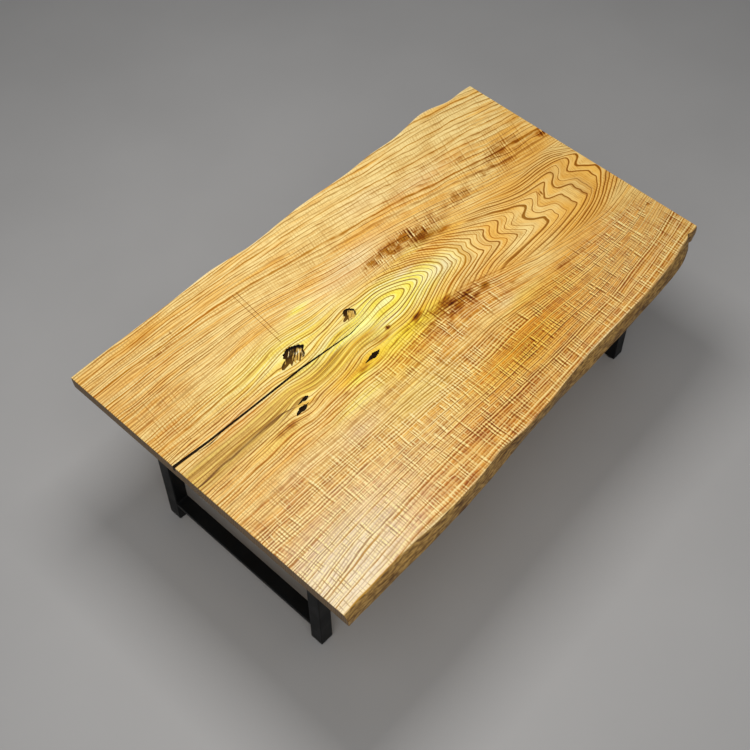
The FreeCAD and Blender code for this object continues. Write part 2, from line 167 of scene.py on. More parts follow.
# Spots: shares of the length and half width at the middle, then of the length and half width
# that the spot reaches, then its strength
SPOT_SHARES = {
    "heart": (
        (0.500, 0.125, 0.085, 0.080, 1.00),
        (0.420, 0.100, 0.080, 0.065, 0.85),
        (0.330, 0.098, 0.120, 0.065, 0.45),
        (0.150, 0.020, 0.130, 0.080, 0.20),
        (0.400, 0.060, 0.220, 0.200, 0.38),
        (0.380, -0.400, 0.110, 0.150, 0.38),
        (0.220, 0.330, 0.140, 0.140, 0.42),
        (0.350, 0.320, 0.110, 0.110, 0.30),
        (0.367, 0.453, 0.026, 0.020, 0.75),
        (0.333, -0.103, 0.030, 0.026, 0.60),
        (0.600, 0.080, 0.080, 0.080, 0.35),
        (0.460, -0.090, 0.090, 0.060, 0.55),
        (0.300, -0.200, 0.080, 0.050, 0.45),
        (0.620, 0.290, 0.090, 0.040, 0.40),
        (0.494, 0.217, 0.050, 0.060, 0.55),
    ),
    "gold": (
        (0.437, -0.100, 0.070, 0.080, 1.00),
        (0.410, -0.230, 0.090, 0.090, 0.60),
        (0.325, -0.055, 0.060, 0.060, 0.75),
        (0.153, -0.073, 0.070, 0.060, 0.65),
        (0.505, -0.605, 0.120, 0.140, 0.55),
        (0.728, -0.457, 0.080, 0.100, 0.45),
        (0.521, -0.074, 0.060, 0.060, 1.00),
        (0.645, -0.386, 0.060, 0.060, 0.50),
        (0.684, 0.224, 0.050, 0.050, 0.45),
        (0.610, -0.600, 0.100, 0.130, 0.55),
    ),
    "stain": (
        (0.645, 0.335, 0.034, 0.055, 0.58),
        (0.604, 0.362, 0.036, 0.060, 0.62),
        (0.560, 0.372, 0.036, 0.050, 0.60),
        (0.525, 0.375, 0.034, 0.024, 0.50),
        (0.740, 0.360, 0.090, 0.060, 0.40),
        (0.475, -0.058, 0.030, 0.022, 0.50),
        (0.520, -0.090, 0.030, 0.026, 0.60),
        (0.560, -0.150, 0.070, 0.050, 0.45),
        (0.530, -0.190, 0.090, 0.090, 0.30),
        (0.442, 0.015, 0.004, 0.008, 1.70),
        (0.562, 0.179, 0.004, 0.008, 0.90),
        (0.205, -0.075, 0.020, 0.024, 0.35),
        (0.900, 0.400, 0.090, 0.110, 0.45),
        (0.828, 0.547, 0.012, 0.026, 0.60),
        (0.183, 0.838, 0.030, 0.012, 0.60),
        (0.140, 0.778, 0.040, 0.012, 0.55),
        (0.995, 0.333, 0.012, 0.020, 1.30),
        (0.867, 0.026, 0.006, 0.014, 1.40),
        (0.972, -0.475, 0.018, 0.010, 0.90),
        (0.786, -0.403, 0.050, 0.022, 0.55),
        (0.973, -0.800, 0.007, 0.016, 1.50),
    ),
    "smudge": (
        (0.652, 0.286, 0.026, 0.028, 0.80),
        (0.682, 0.254, 0.020, 0.022, 0.70),
        (0.622, 0.315, 0.020, 0.030, 0.60),
        (0.408, 0.005, 0.020, 0.010, 0.70),
        (0.350, -0.085, 0.016, 0.014, 0.80),
        (0.629, -0.179, 0.011, 0.020, 1.70),
        (0.602, -0.193, 0.010, 0.014, 0.90),
        (0.595, -0.139, 0.014, 0.018, 1.00),
        (0.560, -0.088, 0.014, 0.014, 1.15),
        (0.559, -0.130, 0.008, 0.014, 1.35),
        (0.495, -0.050, 0.018, 0.016, 1.10),
        (0.443, 0.013, 0.006, 0.010, 1.40),
        (0.421, -0.021, 0.022, 0.012, 0.90),
        (0.375, -0.060, 0.030, 0.016, 0.55),
        (0.668, -0.278, 0.012, 0.018, 0.60),
        (0.292, -0.122, 0.016, 0.016, 0.65),
        (0.251, -0.031, 0.022, 0.008, 0.70),
        (0.192, -0.052, 0.014, 0.022, 0.75),
        (0.163, -0.055, 0.022, 0.026, 0.65),
    ),
    "brown": (
        (0.365, 0.160, 0.030, 0.022, 0.80),
        (0.630, 0.090, 0.080, 0.070, -0.90),
        (0.930, 0.250, 0.140, 0.450, 0.28),
        (0.640, -0.600, 0.160, 0.250, 0.72),
        (0.420, -0.800, 0.160, 0.200, 0.50),
        (0.900, -0.550, 0.140, 0.300, 0.36),
        (0.030, 0.800, 0.100, 0.300, 0.16),
        (0.670, 0.800, 0.300, 0.180, -0.85),
        (0.450, 0.800, 0.200, 0.200, -0.45),
        (0.210, 0.430, 0.120, 0.200, -0.60),
        (0.340, -0.430, 0.140, 0.180, -0.60),
        (0.860, 0.690, 0.120, 0.140, -0.60),
        (0.547, -0.359, 0.050, 0.070, -0.60),
        (0.645, -0.386, 0.050, 0.060, -0.50),
        (0.160, -0.390, 0.130, 0.200, -0.50),
    ),
    "ripple": (
        (0.120, -0.620, 0.280, 0.450, 1.05),
        (0.480, -0.520, 0.220, 0.320, 0.95),
        (0.560, -0.860, 0.340, 0.130, 0.65),
        (0.380, -0.400, 0.090, 0.130, -0.45),
        (0.820, -0.600, 0.200, 0.260, 0.90),
        (0.450, 0.650, 0.260, 0.300, 0.45),
        (0.600, 0.320, 0.110, 0.110, 1.00),
        (0.550, -0.200, 0.110, 0.120, 1.00),
        (0.050, 0.450, 0.090, 0.300, 0.55),
        (0.800, 0.600, 0.150, 0.250, 0.50),
        (0.420, -0.190, 0.090, 0.090, 0.75),
        (0.547, -0.359, 0.060, 0.080, -0.45),
        (0.645, -0.386, 0.060, 0.070, -0.45),
        (0.930, -0.570, 0.100, 0.260, 0.60),
    ),
    "calm": (
        (0.030, 0.060, 0.090, 0.085, 1.00),
        (0.150, 0.060, 0.110, 0.060, 1.00),
        (0.270, 0.075, 0.090, 0.050, 1.00),
        (0.370, 0.050, 0.070, 0.048, 0.90),
    ),
    # Pale spots: partly pale wood and partly painted sheen. The first, at the near right corner of the butt
    # end, is a painted highlight where the key light reflects.
    "pale_wood_and_painted_sheen": (
        (0.030, -0.850, 0.130, 0.220, 1.00),
        (0.150, -0.700, 0.160, 0.250, 0.40),
        (0.600, 0.080, 0.055, 0.050, 0.60),
        (0.552, 0.211, 0.030, 0.020, 0.55),
        (0.455, 0.045, 0.035, 0.016, 0.60),
        (0.625, -0.350, 0.030, 0.050, 0.45),
        (0.256, -0.327, 0.060, 0.060, 0.42),
        (0.135, -0.271, 0.060, 0.050, 0.28),
        (0.140, 0.185, 0.060, 0.060, 0.32),
        (0.494, 0.217, 0.040, 0.050, 0.30),
        (0.462, 0.426, 0.090, 0.090, 0.28),
        (0.537, 0.494, 0.090, 0.080, 0.28),
        (0.740, 0.605, 0.100, 0.100, 0.28),
        (0.040, 0.760, 0.110, 0.300, 0.17),
        (0.620, 0.740, 0.080, 0.090, 0.25),
    ),
}
# Thin scores in the top face: shares of the length and half width at both ends
SCORE_SHARES = (
    (0.000, 0.247, 0.060, 0.265),
    (0.308, 0.790, 0.294, 0.360),
    (0.317, 0.790, 0.303, 0.400),
)
# Coloured veins along the grain: shares of the length and of the half width
DARK_VEIN_ALONG = np.array((-0.03, 0.03, 0.055, 0.078, 0.100, 0.127, 0.165, 0.197, 0.228))
DARK_VEIN_ACROSS = (0.027, 0.027, 0.032, 0.029, 0.032, 0.031, 0.029, 0.026, 0.0)
ORANGE_VEIN_ALONG = np.array((0.120, 0.157, 0.193, 0.250, 0.308, 0.373, 0.430))
ORANGE_VEIN_ACROSS = (-0.449, -0.453, -0.455, -0.482, -0.508, -0.519, -0.524)
VEIN_TAPER_SHARE = 0.05
LEAST_VEIN_TAPER = 0.02
# Fork of the crack: shares of the length, and how far its second line stands off in metres
FORK_ALONG = np.array((0.030, 0.045, 0.055, 0.068, 0.082, 0.096, 0.115))
FORK_OFFSETS = np.array((0.0, 0.006, 0.009, 0.010, 0.008, 0.004, 0.0))
# How far a knot pushes the grain lines aside, and how long one is that pushes fully
KNOT_PUSH = 0.036
KNOT_PUSH_REACH = 0.11
FULL_PUSH_LENGTH = 0.12
LEAST_REACH_SHARE = 0.4
PUSH_CORE_SHARE = 0.3

# Noise that follows the grain: how much of it in a metre along and across, its detail and roughness
GRAIN_NOISE = {
    "streak": (2.6, 34.0, 3.0, 0.5),
    "band": (4.0, 125.0, 2.0, 0.5),
    "breaks": (16.0, 160.0, 2.0, 0.5),
    "fibre": (7.0, 150.0, 3.0, 0.65),
    "pores": (45.0, 800.0, 1.0, 0.5),
    "patch": (15.0, 52.0, 2.0, 0.5),
}
WASH_NOISE = {
    "broad_wash": (1.4, 55.0, 2.0, 0.5),
    "fine_wash": (2.2, 115.0, 3.0, 0.6),
}
# Noise by place: how much of it in a metre on each axis
PLACE_NOISE = {
    "sway": (5.0, 18.0, 18.0),
    "tremor": (30.0, 70.0, 70.0),
    "cloud": (4.0, 11.0, 11.0),
    "speckle": (26.0, 44.0, 26.0),
    "thread_wander": (6.0, 5.0, 5.0),
    "thread_patch": (14.0, 20.0, 14.0),
    "tick_patch": (12.0, 40.0, 12.0),
}

# A step is a value's low and high end and, where that is not 0 and 1, what they become.
# Ring lines: how far sway and tremor shift them, and how even and how wide they are
SWAY_RINGS = 1.6
TREMOR_RINGS = 0.30
FLAME_SWAY_SHARE = 0.20
FLANK_SIDE_STEP = (-0.03, 0.03, 0.0, 9.0)
FLAME_SIDE = 4.5
FLANK_STEADINESS = 0.45
FLAME_STEADINESS = 0.92
STREAK_SHARE = 0.40
RING_JITTER_SCALE = 0.6
THINNED_CROWDING_STEP = (105.0, 150.0)
LINE_WIDTH = 0.0040
LEAST_LINE_SHARE = 0.02
MOST_LINE_SHARE = 0.5
BREAK_STEP = (0.30, 0.55)
LINE_WEIGHT_STEP = (0.0, 0.8)
DARK_LINE_BAND = (0.0, 0.2, 0.7, 1.15)
PALE_LINE_BAND = (0.0, 0.3, 0.7, 1.3)
PALE_LINE_STEP = (0.1, 0.6, 0.45, 1.0)
PALE_LINE_SHARE = 0.8
HALO_STEP = (0.3, 2.2, 1.0, 0.0)
PORE_STEP = (0.60, 0.72)
PATCH_STEP = (0.46, 0.60)
# Threads of the cross grain ripple, which break into segments, and the curl that they follow
THREADS_PER_METRE = 100.0
THREAD_WANDER = 2.5
THREAD_JITTER = 1.3
THREAD_JITTER_SCALE = 0.40
THREAD_SEED = 7.31
SEGMENTS_PER_METRE = 20.0
SEGMENT_DETAIL = 1.0
THREAD_STEP = (0.0, 0.7, 0.45, 1.0)
THREAD_PATCH_STEP = (0.38, 0.56, 0.32, 1.0)
THREAD_RIPPLE_STEP = (0.0, 1.0, 0.22, 1.0)
DARK_THREAD_BAND = (0.0, 0.08, 0.30, 0.40)
DARK_SEGMENT_STEP = (0.44, 0.54)
PALE_THREAD_BAND = (0.42, 0.52, 0.80, 0.92)
PALE_SEGMENT_STEP = (0.38, 0.50)
TICK_BAND = (0.0, 0.15, 0.30, 0.50)
TICK_STEP = (0.46, 0.60)
HATCH_STEP = (0.2, 0.8, 0.1, 1.5)
CURLS_PER_THREAD = 0.30
CURLS_PER_SEGMENT = 0.5
# Zones and shade of the ground, and what brings out the marks
HEART_STEP = (0.05, 0.90)
CALM_STEP = (0.15, 0.80)
WEAVE_STEP = (0.25, 0.95)
CLEAR_STEP = (0.0, 1.0, 1.0, 0.55)
FLAME_EVENNESS = 0.6
FLAME_DEPTH = 0.53
WEAVE_EVENNESS = 0.45
WEAVE_DEPTH = 0.47
BROWN_SHADE = 0.13
CLOUD_SHADE = 0.34
HATCH_SHARE = 0.36
STAIN_SPECKLE_STEP = (0.34, 0.66, 0.45, 1.50)
STAIN_LINE_SHARE = 0.5
SMUDGE_SPECKLE_STEP = (0.34, 0.66, 0.75, 1.25)
VEIN_SWAY = 0.012

# Dark lines of the top face: factors of each kind, which are numbers and values with their steps
DARK_LINES = (
    (
        ("ring",),
        ("calm", 0.0, 1.0, 1.0, 0.60),
        ("weave", 0.0, 1.0, 1.0, 0.88),
        ("brown", -0.7, 0.0, 0.88, 1.0),
    ),
    (("dark_thread",), ("brown", 0.0, 0.8, 0.80, 1.0)),
    (("ticks",), 0.30),
    (("pores",), 0.35),
)
# Tones: a ground colour and the layers on it. A layer has its way of mixing, its colour or the name
# of another tone, and the factors that bring it out.
TONES = {
    "top": (
        (1.0, 0.755, 0.31),
        ("MIX", (0.95, 0.54, 0.11), ("shade", 0.41, 0.60)),
        ("MIX", (0.66, 0.30, 0.03), ("shade", 0.60, 0.76)),
        ("MULTIPLY", (0.70, 0.48, 0.18), ("patch",), ("ripple", 0.1, 0.9, 0.12, 0.55)),
        ("MULTIPLY", (0.85, 0.65, 0.31), ("weave",), 0.75),
        ("MULTIPLY", (0.80, 0.61, 0.26), ("brown", 0.0, 0.9)),
        ("MULTIPLY", (0.66, 0.44, 0.12), ("weave",), ("curl", 0.46, 0.64, 0.0, 0.7)),
        ("MIX", "heart", ("heart",)),
        ("MIX", "wash", ("calm",), 0.92),
        # Painted sheen: mixes towards a pale cream over the pale spots, partly pale wood and partly a
        # painted reflection of the lamps
        ("MIX", (1.0, 0.91, 0.75), ("pale_wood_and_painted_sheen", 0.0, 1.0, 0.0, 0.74)),
        ("MIX", (0.86, 0.42, 0.035), ("orange_vein", 0.002, 0.009, 0.75, 0.0)),
        ("MULTIPLY", (0.66, 0.45, 0.15), ("clear",), ("fibre", 0.42, 0.70, 0.0, 0.60)),
        ("MULTIPLY", (0.86, 0.69, 0.40), ("clear",), ("halo",), ("calm", 0.0, 1.0, 0.65, 0.35)),
        ("MIX", "thread", ("pale",), ("plain",), ("weave", 0.0, 1.0, 0.25, 1.0)),
        # Painted highlight: a pale cream band on the top face along the live edges, where the arris catches
        # the light
        ("MIX", (1.0, 0.80, 0.42), ("rim", 0.001, 0.008, 0.75, 0.0), ("sway", 0.3, 0.6)),
        ("MULTIPLY", (1.0, 0.92, 0.40), ("gold", 0.0, 1.0)),
        ("MULTIPLY", "line", ("dark",)),
        ("MULTIPLY", (0.50, 0.29, 0.06), ("stain", 0.05, 0.85)),
        ("MULTIPLY", (0.36, 0.23, 0.12), ("stain", 0.80, 1.70)),
        ("MULTIPLY", (0.56, 0.34, 0.07), ("smudge", 0.10, 0.90)),
        ("MULTIPLY", (0.30, 0.17, 0.05), ("smudge", 0.70, 1.60)),
        (
            "MULTIPLY",
            (0.26, 0.14, 0.03),
            ("dark_vein", 0.0015, 0.006, 1.0, 0.0),
            ("fibre", 0.3, 0.6, 0.7, 1.0),
        ),
        ("MIX", (0.020, 0.012, 0.008), ("fork", 0.0010, 0.0024, 1.0, 0.0)),
        ("MULTIPLY", (0.42, 0.27, 0.08), ("score", 0.0006, 0.0016, 1.0, 0.0)),
    ),
    "heart": (
        (1.0, 0.97, 0.40),
        ("MIX", (1.0, 0.86, 0.11), ("band", 0.40, 0.56)),
        ("MIX", (0.82, 0.53, 0.03), ("band", 0.60, 0.74)),
    ),
    "wash": (
        (1.0, 0.71, 0.10),
        ("MIX", (0.76, 0.42, 0.035), ("broad_wash", 0.42, 0.54)),
        ("MIX", (1.0, 0.87, 0.32), ("fine_wash", 0.34, 0.44, 0.65, 0.0)),
        ("MIX", (0.70, 0.48, 0.17), ("along", 0.15, 0.60, 0.55, 0.0)),
        ("MIX", (0.37, 0.175, 0.008), ("fine_wash", 0.50, 0.60, 0.0, 0.90)),
    ),
    "thread": (
        (1.0, 0.82, 0.38),
        ("MIX", (1.0, 0.75, 0.26), ("brown", 0.0, 0.8)),
    ),
    "line": (
        (0.34, 0.19, 0.006),
        ("MIX", (0.52, 0.32, 0.02), ("own", 0.62, 0.76)),
        ("MIX", (0.25, 0.125, 0.003), ("weave",), ("brown", 0.1, 0.8)),
        ("MIX", (0.36, 0.20, 0.006), ("heart",)),
    ),
    "live_edge": (
        (0.58, 0.34, 0.09),
        ("MIX", (0.20, 0.095, 0.020), ("fibre", 0.38, 0.62)),
        ("MIX", (0.20, 0.10, 0.03), ("cloud", 0.45, 0.75, 0.0, 0.6)),
        ("MULTIPLY", (0.36, 0.25, 0.14), ("marks", 0.54, 0.66, 0.0, 0.85)),
    ),
    # End grain: dark browns, partly the end grain's own darker colour and partly painted shade of end faces
    # turned away from the overhead light
    "end_grain": (
        (0.27, 0.165, 0.068),
        ("MIX", (0.13, 0.072, 0.028), ("late",)),
        ("MIX", (0.10, 0.06, 0.026), ("saw", 0.45, 0.75, 0.0, 0.5)),
    ),
    "bark": (
        (0.90, 0.58, 0.13),
        ("MIX", (0.56, 0.30, 0.045), ("fleck",)),
        ("MIX", (1.0, 0.87, 0.52), ("fleck", 0.50, 0.58), ("hang", 0.30, 0.45, 1.0, 0.0), ("flecks",)),
        ("MIX", "strand", ("strands", 0.44, 0.54)),
        ("MIX", (0.007, 0.004, 0.003), ("hang", 0.08, 0.17, 1.0, 0.0)),
    ),
    "strand": (
        (0.030, 0.013, 0.003),
        ("MIX", (0.15, 0.070, 0.012), ("hang", 0.25, 0.8)),
    ),
}

# Top face: relief of its lines, fibres and pores, depth and strength of the relief, and polish
LINE_RELIEF = -0.6
FIBRE_RELIEF = 0.5
PORE_RELIEF = -0.8
TOP_RELIEF = (0.0004, 0.5)
LINE_DULLNESS = 0.4
TOP_ROUGHNESS_STEP = (0.2, 1.1, 0.30, 0.46)
TOP_SPECULAR = 0.14

# Live edge, end grain and bark pockets. A texture is a noise's detail and roughness.
EDGE_FIBRES_PER_METRE = (39.6, 132.0, 198.0)
EDGE_FIBRE_TEXTURE = (4.0, 0.65)
EDGE_CLOUDS_PER_METRE = 9.0
EDGE_MARKS_PER_METRE = (14.0, 30.0, 110.0)
EDGE_MARK_DETAIL = 3.0
EDGE_MARK_SLANT = 0.5
EDGE_MARK_RELIEF = 0.7
EDGE_RELIEF = (0.003, 0.6)
EDGE_ROUGHNESS_STEP = (0.2, 0.8, 0.42, 0.60)
END_WAVER = 0.006
END_WAVER_PER_METRE = 30.0
END_RINGS_PER_METRE = 130.0
END_LATE_STEP = (0.3, 1.0)
END_LATE_RELIEF = -0.4
SAW_MARKS_PER_METRE = (40.0, 260.0, 12.0)
SAW_MARK_DETAIL = 3.0
SAW_RELIEF = 0.6
END_RELIEF = (0.0005, 0.6)
END_ROUGHNESS_STEP = (0.2, 0.8, 0.46, 0.62)
BARK_STROKE_SIZE = (0.055, 0.0065, 0.02)
BARK_STROKE_TEXTURE = (3.0, 0.6)
BARK_FLECKS_PER_STROKE = (3.12, 1.3, 1.3)
BARK_WAVER = 0.20
BARK_LEFT_STEP = (0.15, 0.7, 0.12, 0.0)
BARK_BUMP = (0.002, 0.6)
BARK_ROUGHNESS_STEP = (0.3, 0.7, 0.60, 0.78)
BARK_SPECULAR = 0.03

# Plain materials: scale and detail of a mottle, the two colours and the roughness that follow it,
# and the depth and strength of a relief
MOTTLE_STEP = (0.3, 0.7)
RESIN_FINISH = {
    "name": "black_filling_resin", "scale": 120.0, "detail": 3.0,
    "first": (0.009, 0.004, 0.001), "second": (0.018, 0.008, 0.002),
    "roughness": (0.30, 0.46), "relief": (0.0004, 0.4), "Specular_IOR_Level": 0.04,
}
FLOOR_FINISH = {
    "name": "pale_floor", "scale": 1.6, "detail": 4.0,
    "first": (0.43, 0.42, 0.41), "second": (0.49, 0.48, 0.47), "roughness": (0.62, 0.75),
}
METAL = {"scale": 260.0, "detail": 3.0, "relief": (0.0001, 0.3), "Metallic": 1.0}
NYLON = {"scale": 1100.0, "detail": 2.0, "relief": (0.0002, 0.4), "roughness": (0.48, 0.62)}
FRAME_FINISHES = {
    "black_steel": {
        "name": "black_powder_coat", "scale": 14.0, "detail": 4.0,
        "first": (0.004, 0.0044, 0.0048), "second": (0.009, 0.0097, 0.0102),
        "roughness": (0.36, 0.48), "relief": (0.0002, 0.35), "peel": 900.0, "Specular_IOR_Level": 0.09,
    },
    "zinc_steel": {
        "name": "zinc_plate", **METAL, "roughness": (0.24, 0.40),
        "first": (0.56, 0.57, 0.59), "second": (0.70, 0.70, 0.70),
    },
    "insert_brass": {
        "name": "turned_brass", **METAL, "roughness": (0.22, 0.36),
        "first": (0.60, 0.42, 0.16), "second": (0.74, 0.55, 0.24),
    },
    "plug_plastic": {
        "name": "plug_nylon", **NYLON,
        "first": (0.016, 0.016, 0.017), "second": (0.030, 0.030, 0.031),
    },
    "pad_plastic": {
        "name": "pad_nylon", **NYLON,
        "first": (0.022, 0.022, 0.022), "second": (0.040, 0.040, 0.040),
    },
}

# Camera, light and floor
CAMERA_PLACE = Vector((-1.930, -1.670, 3.965))
CAMERA_HEADING = math.radians(-46.48)
CAMERA_TILT = math.radians(35.22)
CAMERA_ROLL = math.radians(-0.54)
CAMERA_SENSOR = 36.0
CAMERA_LENS = 62.88
KEY_LIGHT = {"place": (-0.1, 0.35, 3.2), "target": (-0.1, 0.1, 0.7), "size": 1.05, "power": 44.5}
FILL_LIGHT = {"place": (-2.5, -2.2, 5.0), "target": (0.0, 0.0, 0.5), "size": 4.0, "power": 120.0}
SKY_COLOUR = (0.92, 0.94, 0.97, 1.0)
SKY_STRENGTH = 0.16
FLOOR_HALF = 14.0


def smooth(share, stations, values):
    """Cubic curve through the values at the stations, read at each share."""
    values = np.asarray(values)
    slopes = np.gradient(values, stations)
    before = np.clip(np.searchsorted(stations, share) - 1, 0, len(stations) - 2)
    width = stations[before + 1] - stations[before]
    t = np.clip((share - stations[before]) / width, 0.0, 1.0)
    rise = t * t * (3.0 - 2.0 * t)
    leave = t * (1.0 - t) ** 2 * width
    arrive = t * t * (t - 1.0) * width
    ends = values[before] + rise * (values[before + 1] - values[before])
    return ends + leave * slopes[before] + arrive * slopes[before + 1]


def spots(along, across, table):
    """Sum of soft spots at shares along and across the slab."""
    total = np.zeros_like(along)
    for middle_along, middle_across, reach_along, reach_across, strength in table:
        far = ((along - middle_along) / reach_along) ** 2 + ((across - middle_across) / reach_across) ** 2
        total += strength * np.exp(-far)
    return total


def merged(node):
    """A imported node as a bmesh, with vertices at the same place joined."""
    work = bmesh.new()
    work.from_mesh(frame["nodes"][node].data)
    bmesh.ops.remove_doubles(work, verts=work.verts, dist=MERGE_DISTANCE)
    work.verts.index_update()
    return work


def islands(node):
    """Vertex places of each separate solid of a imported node."""
    work = merged(node)
    waiting = set(work.verts)
    found = []
    while waiting:
        reached = [waiting.pop()]
        for vert in reached:
            for edge in vert.link_edges:
                other = edge.other_vert(vert)
                if other in waiting:
                    waiting.remove(other)
                    reached.append(other)
        found.append(np.array([vert.co for vert in reached]))
    work.free()
    return sorted(found, key=lambda places: tuple(places.mean(axis=0)))


def live_edge_lines():
    """Top and underside lines of both live edges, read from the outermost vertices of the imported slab."""
    work = merged("slab_top")
    places = np.array([vert.co for vert in work.verts])
    work.free()
    lines = {}
    for side in (-1, 1):
        for level, height in enumerate((SLAB_HIGH.z, SLAB_LOW.z)):
            near = places[(np.abs(places[:, 2] - height) < SAME_PLACE) & (side * places[:, 1] > 0.0)]
            near = near[np.argsort(near[:, 0])]
            reach = side * near[:, 1]
            ends = [reach[np.abs(near[:, 0] - x) < SAME_PLACE].max() for x in (SLAB_LOW.x, SLAB_HIGH.x)]
            chord = np.interp(near[:, 0], (SLAB_LOW.x, SLAB_HIGH.x), ends)
            lines[side, level] = near[reach > chord - EDGE_SEARCH][:, :2]
    return lines


def edge_noise(x, depth, side):
    """Natural unevenness of a live edge at places along it and shares of the depth."""
    values = [
        noise.fractal((EDGE_WAVES_PER_METRE * a, EDGE_WAVES_DOWN * b, EDGE_SIDE_SEED * side), *EDGE_FRACTAL)
        for a, b in zip(x.ravel(), depth.ravel())
    ]
    return np.array(values).reshape(x.shape)


def edge_places(lines, x, depth, side):
    """Across places of one live edge at columns x and depth shares."""
    x, depth = np.meshgrid(x, depth, indexing="ij")
    top = np.interp(x, *lines[side, 0].T)
    under = np.interp(x, *lines[side, 1].T)
    swell = EDGE_SWELL * 4.0 * depth * (1.0 - depth)
    wave = EDGE_WAVE * edge_noise(x, depth, side)
    from_notch = x - SLAB_LOW.x - NOTCH_ALONG_SHARE * LENGTH
    notch = NOTCH_DEPTH * np.exp(-(from_notch / NOTCH_HALF_LENGTH) ** 2)
    place = top + (under - top) * depth + side * (swell + wave) + max(0, -side) * notch
    return np.clip(place, SLAB_LOW.y, SLAB_HIGH.y)


def new_object(name, verts, faces):
    """Mesh object with outward normals."""
    mesh = bpy.data.meshes.new(name)
    mesh.from_pydata([tuple(place) for place in verts], [], [tuple(face) for face in faces])
    work = bmesh.new()
    work.from_mesh(mesh)
    bmesh.ops.recalc_face_normals(work, faces=work.faces)
    work.to_mesh(mesh)
    work.free()
    piece = bpy.data.objects.new(name, mesh)
    bpy.context.scene.collection.objects.link(piece)
    return piece


def slab_blank():
    """Closed slab with natural edges, small arrises and gridded end faces."""
    lines = live_edge_lines()
    count = round(LENGTH / COLUMN_STEP)
    inner = np.linspace(SLAB_LOW.x + ARRIS, SLAB_HIGH.x - ARRIS, count)
    x = np.concatenate(([SLAB_LOW.x], inner, [SLAB_HIGH.x]))
    skin = ARRIS / THICKNESS
    depth = np.linspace(skin, 1.0 - skin, SIDE_ROWS)
    levels = np.concatenate(([0.0], depth, [1.0]))
    right = edge_places(lines, x, levels, -1)
    left = edge_places(lines, x, levels, 1)
    right[:, [0, -1]] += ARRIS
    left[:, [0, -1]] -= ARRIS
    right[[0, -1]] += ARRIS
    left[[0, -1]] -= ARRIS
    share = np.linspace(0.0, 1.0, CELLS_ACROSS + 1)
    grid_y = right[:, :, None] + (left - right)[:, :, None] * share
    grid_z = np.broadcast_to((SLAB_HIGH.z - levels * THICKNESS)[None, :, None], grid_y.shape).copy()
    for end in (0, -1):
        grid_z[end] = np.clip(grid_z[end], SLAB_LOW.z + ARRIS, SLAB_HIGH.z - ARRIS)
    grid_x = np.broadcast_to(x[:, None, None], grid_y.shape)
    kept = np.zeros(grid_y.shape, bool)
    kept[[0, -1]] = True
    kept[:, [0, -1]] = True
    kept[:, :, [0, -1]] = True
    index = np.full(grid_y.shape, -1)
    index[kept] = np.arange(kept.sum())
    verts = np.stack((grid_x[kept], grid_y[kept], grid_z[kept]), axis=1)
    skins = [index[0], index[-1], index[:, 0], index[:, -1], index[:, :, 0], index[:, :, -1]]
    faces = []
    for skin_index in skins:
        corners = (skin_index[:-1, :-1], skin_index[1:, :-1], skin_index[1:, 1:], skin_index[:-1, 1:])
        faces.extend(np.stack(corners, axis=-1).reshape(-1, 4).tolist())
    return new_object("slab", verts, faces)


def strip_solid(name, x, low, high, bottom, top):
    """Closed solid between two banks along X."""
    verts = []
    for place, near, far in zip(x, low, high):
        verts += [(place, near, top), (place, far, top), (place, far, bottom), (place, near, bottom)]
    faces = [(0, 1, 2, 3)]
    for start in range(0, len(verts) - 4, 4):
        for side in range(4):
            after = (side + 1) % 4
            faces.append((start + side, start + after, start + 4 + after, start + 4 + side))
    last = len(verts) - 4
    faces.append((last, last + 1, last + 2, last + 3))
    return new_object(name, verts, faces)


def crack_banks(start):
    """Places along the crack and its two uneven banks."""
    low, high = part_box("crack_resin")
    (places,) = islands("crack_resin")
    top = places[places[:, 2] > high.z - TOP_SKIN]
    stations = np.unique(np.round(top[:, 0], PLACE_DIGITS))
    banks = [[pick(top[np.abs(top[:, 0] - s) < SAME_PLACE, 1]) for s in stations] for pick in (min, max)]
    tip = high.x - CRACK_STEP / 2
    x = np.linspace(low.x, tip, round((tip - low.x) / CRACK_STEP))
    sides = []
    for number, bank in enumerate(banks):
        seed = CRACK_BANK_SEED * number
        jitter = [CRACK_JITTER * noise.noise((CRACK_WAVES_PER_METRE * a, seed, 0.0)) for a in x]
        sides.append(np.interp(x, stations, bank) + np.array(jitter))
    least = CRACK_JITTER / 2
    middle = (sides[0] + sides[1]) / 2
    spread = CRACK_SPREAD * (1.0 - ramp((x - low.x) / (tip - low.x), CRACK_SPREAD_END_SHARE, 1.0))
    x[0] = start
    near = np.minimum(sides[0], middle - least) - spread
    far = np.maximum(sides[1], middle + least) + spread
    return x, near, far, low.z


def crack_solids():
    """Filling of the crack, and the cutter that makes room for it."""
    x, near, far, bottom = crack_banks(SLAB_LOW.x)
    filling = strip_solid("crack_filling", x, near, far, bottom, SLAB_HIGH.z - FILLING_RECESS)
    x, near, far, bottom = crack_banks(SLAB_LOW.x - OVERRUN)
    cutter = strip_solid("crack_cutter", x, near, far, bottom, SLAB_HIGH.z + OVERRUN)
    return filling, cutter


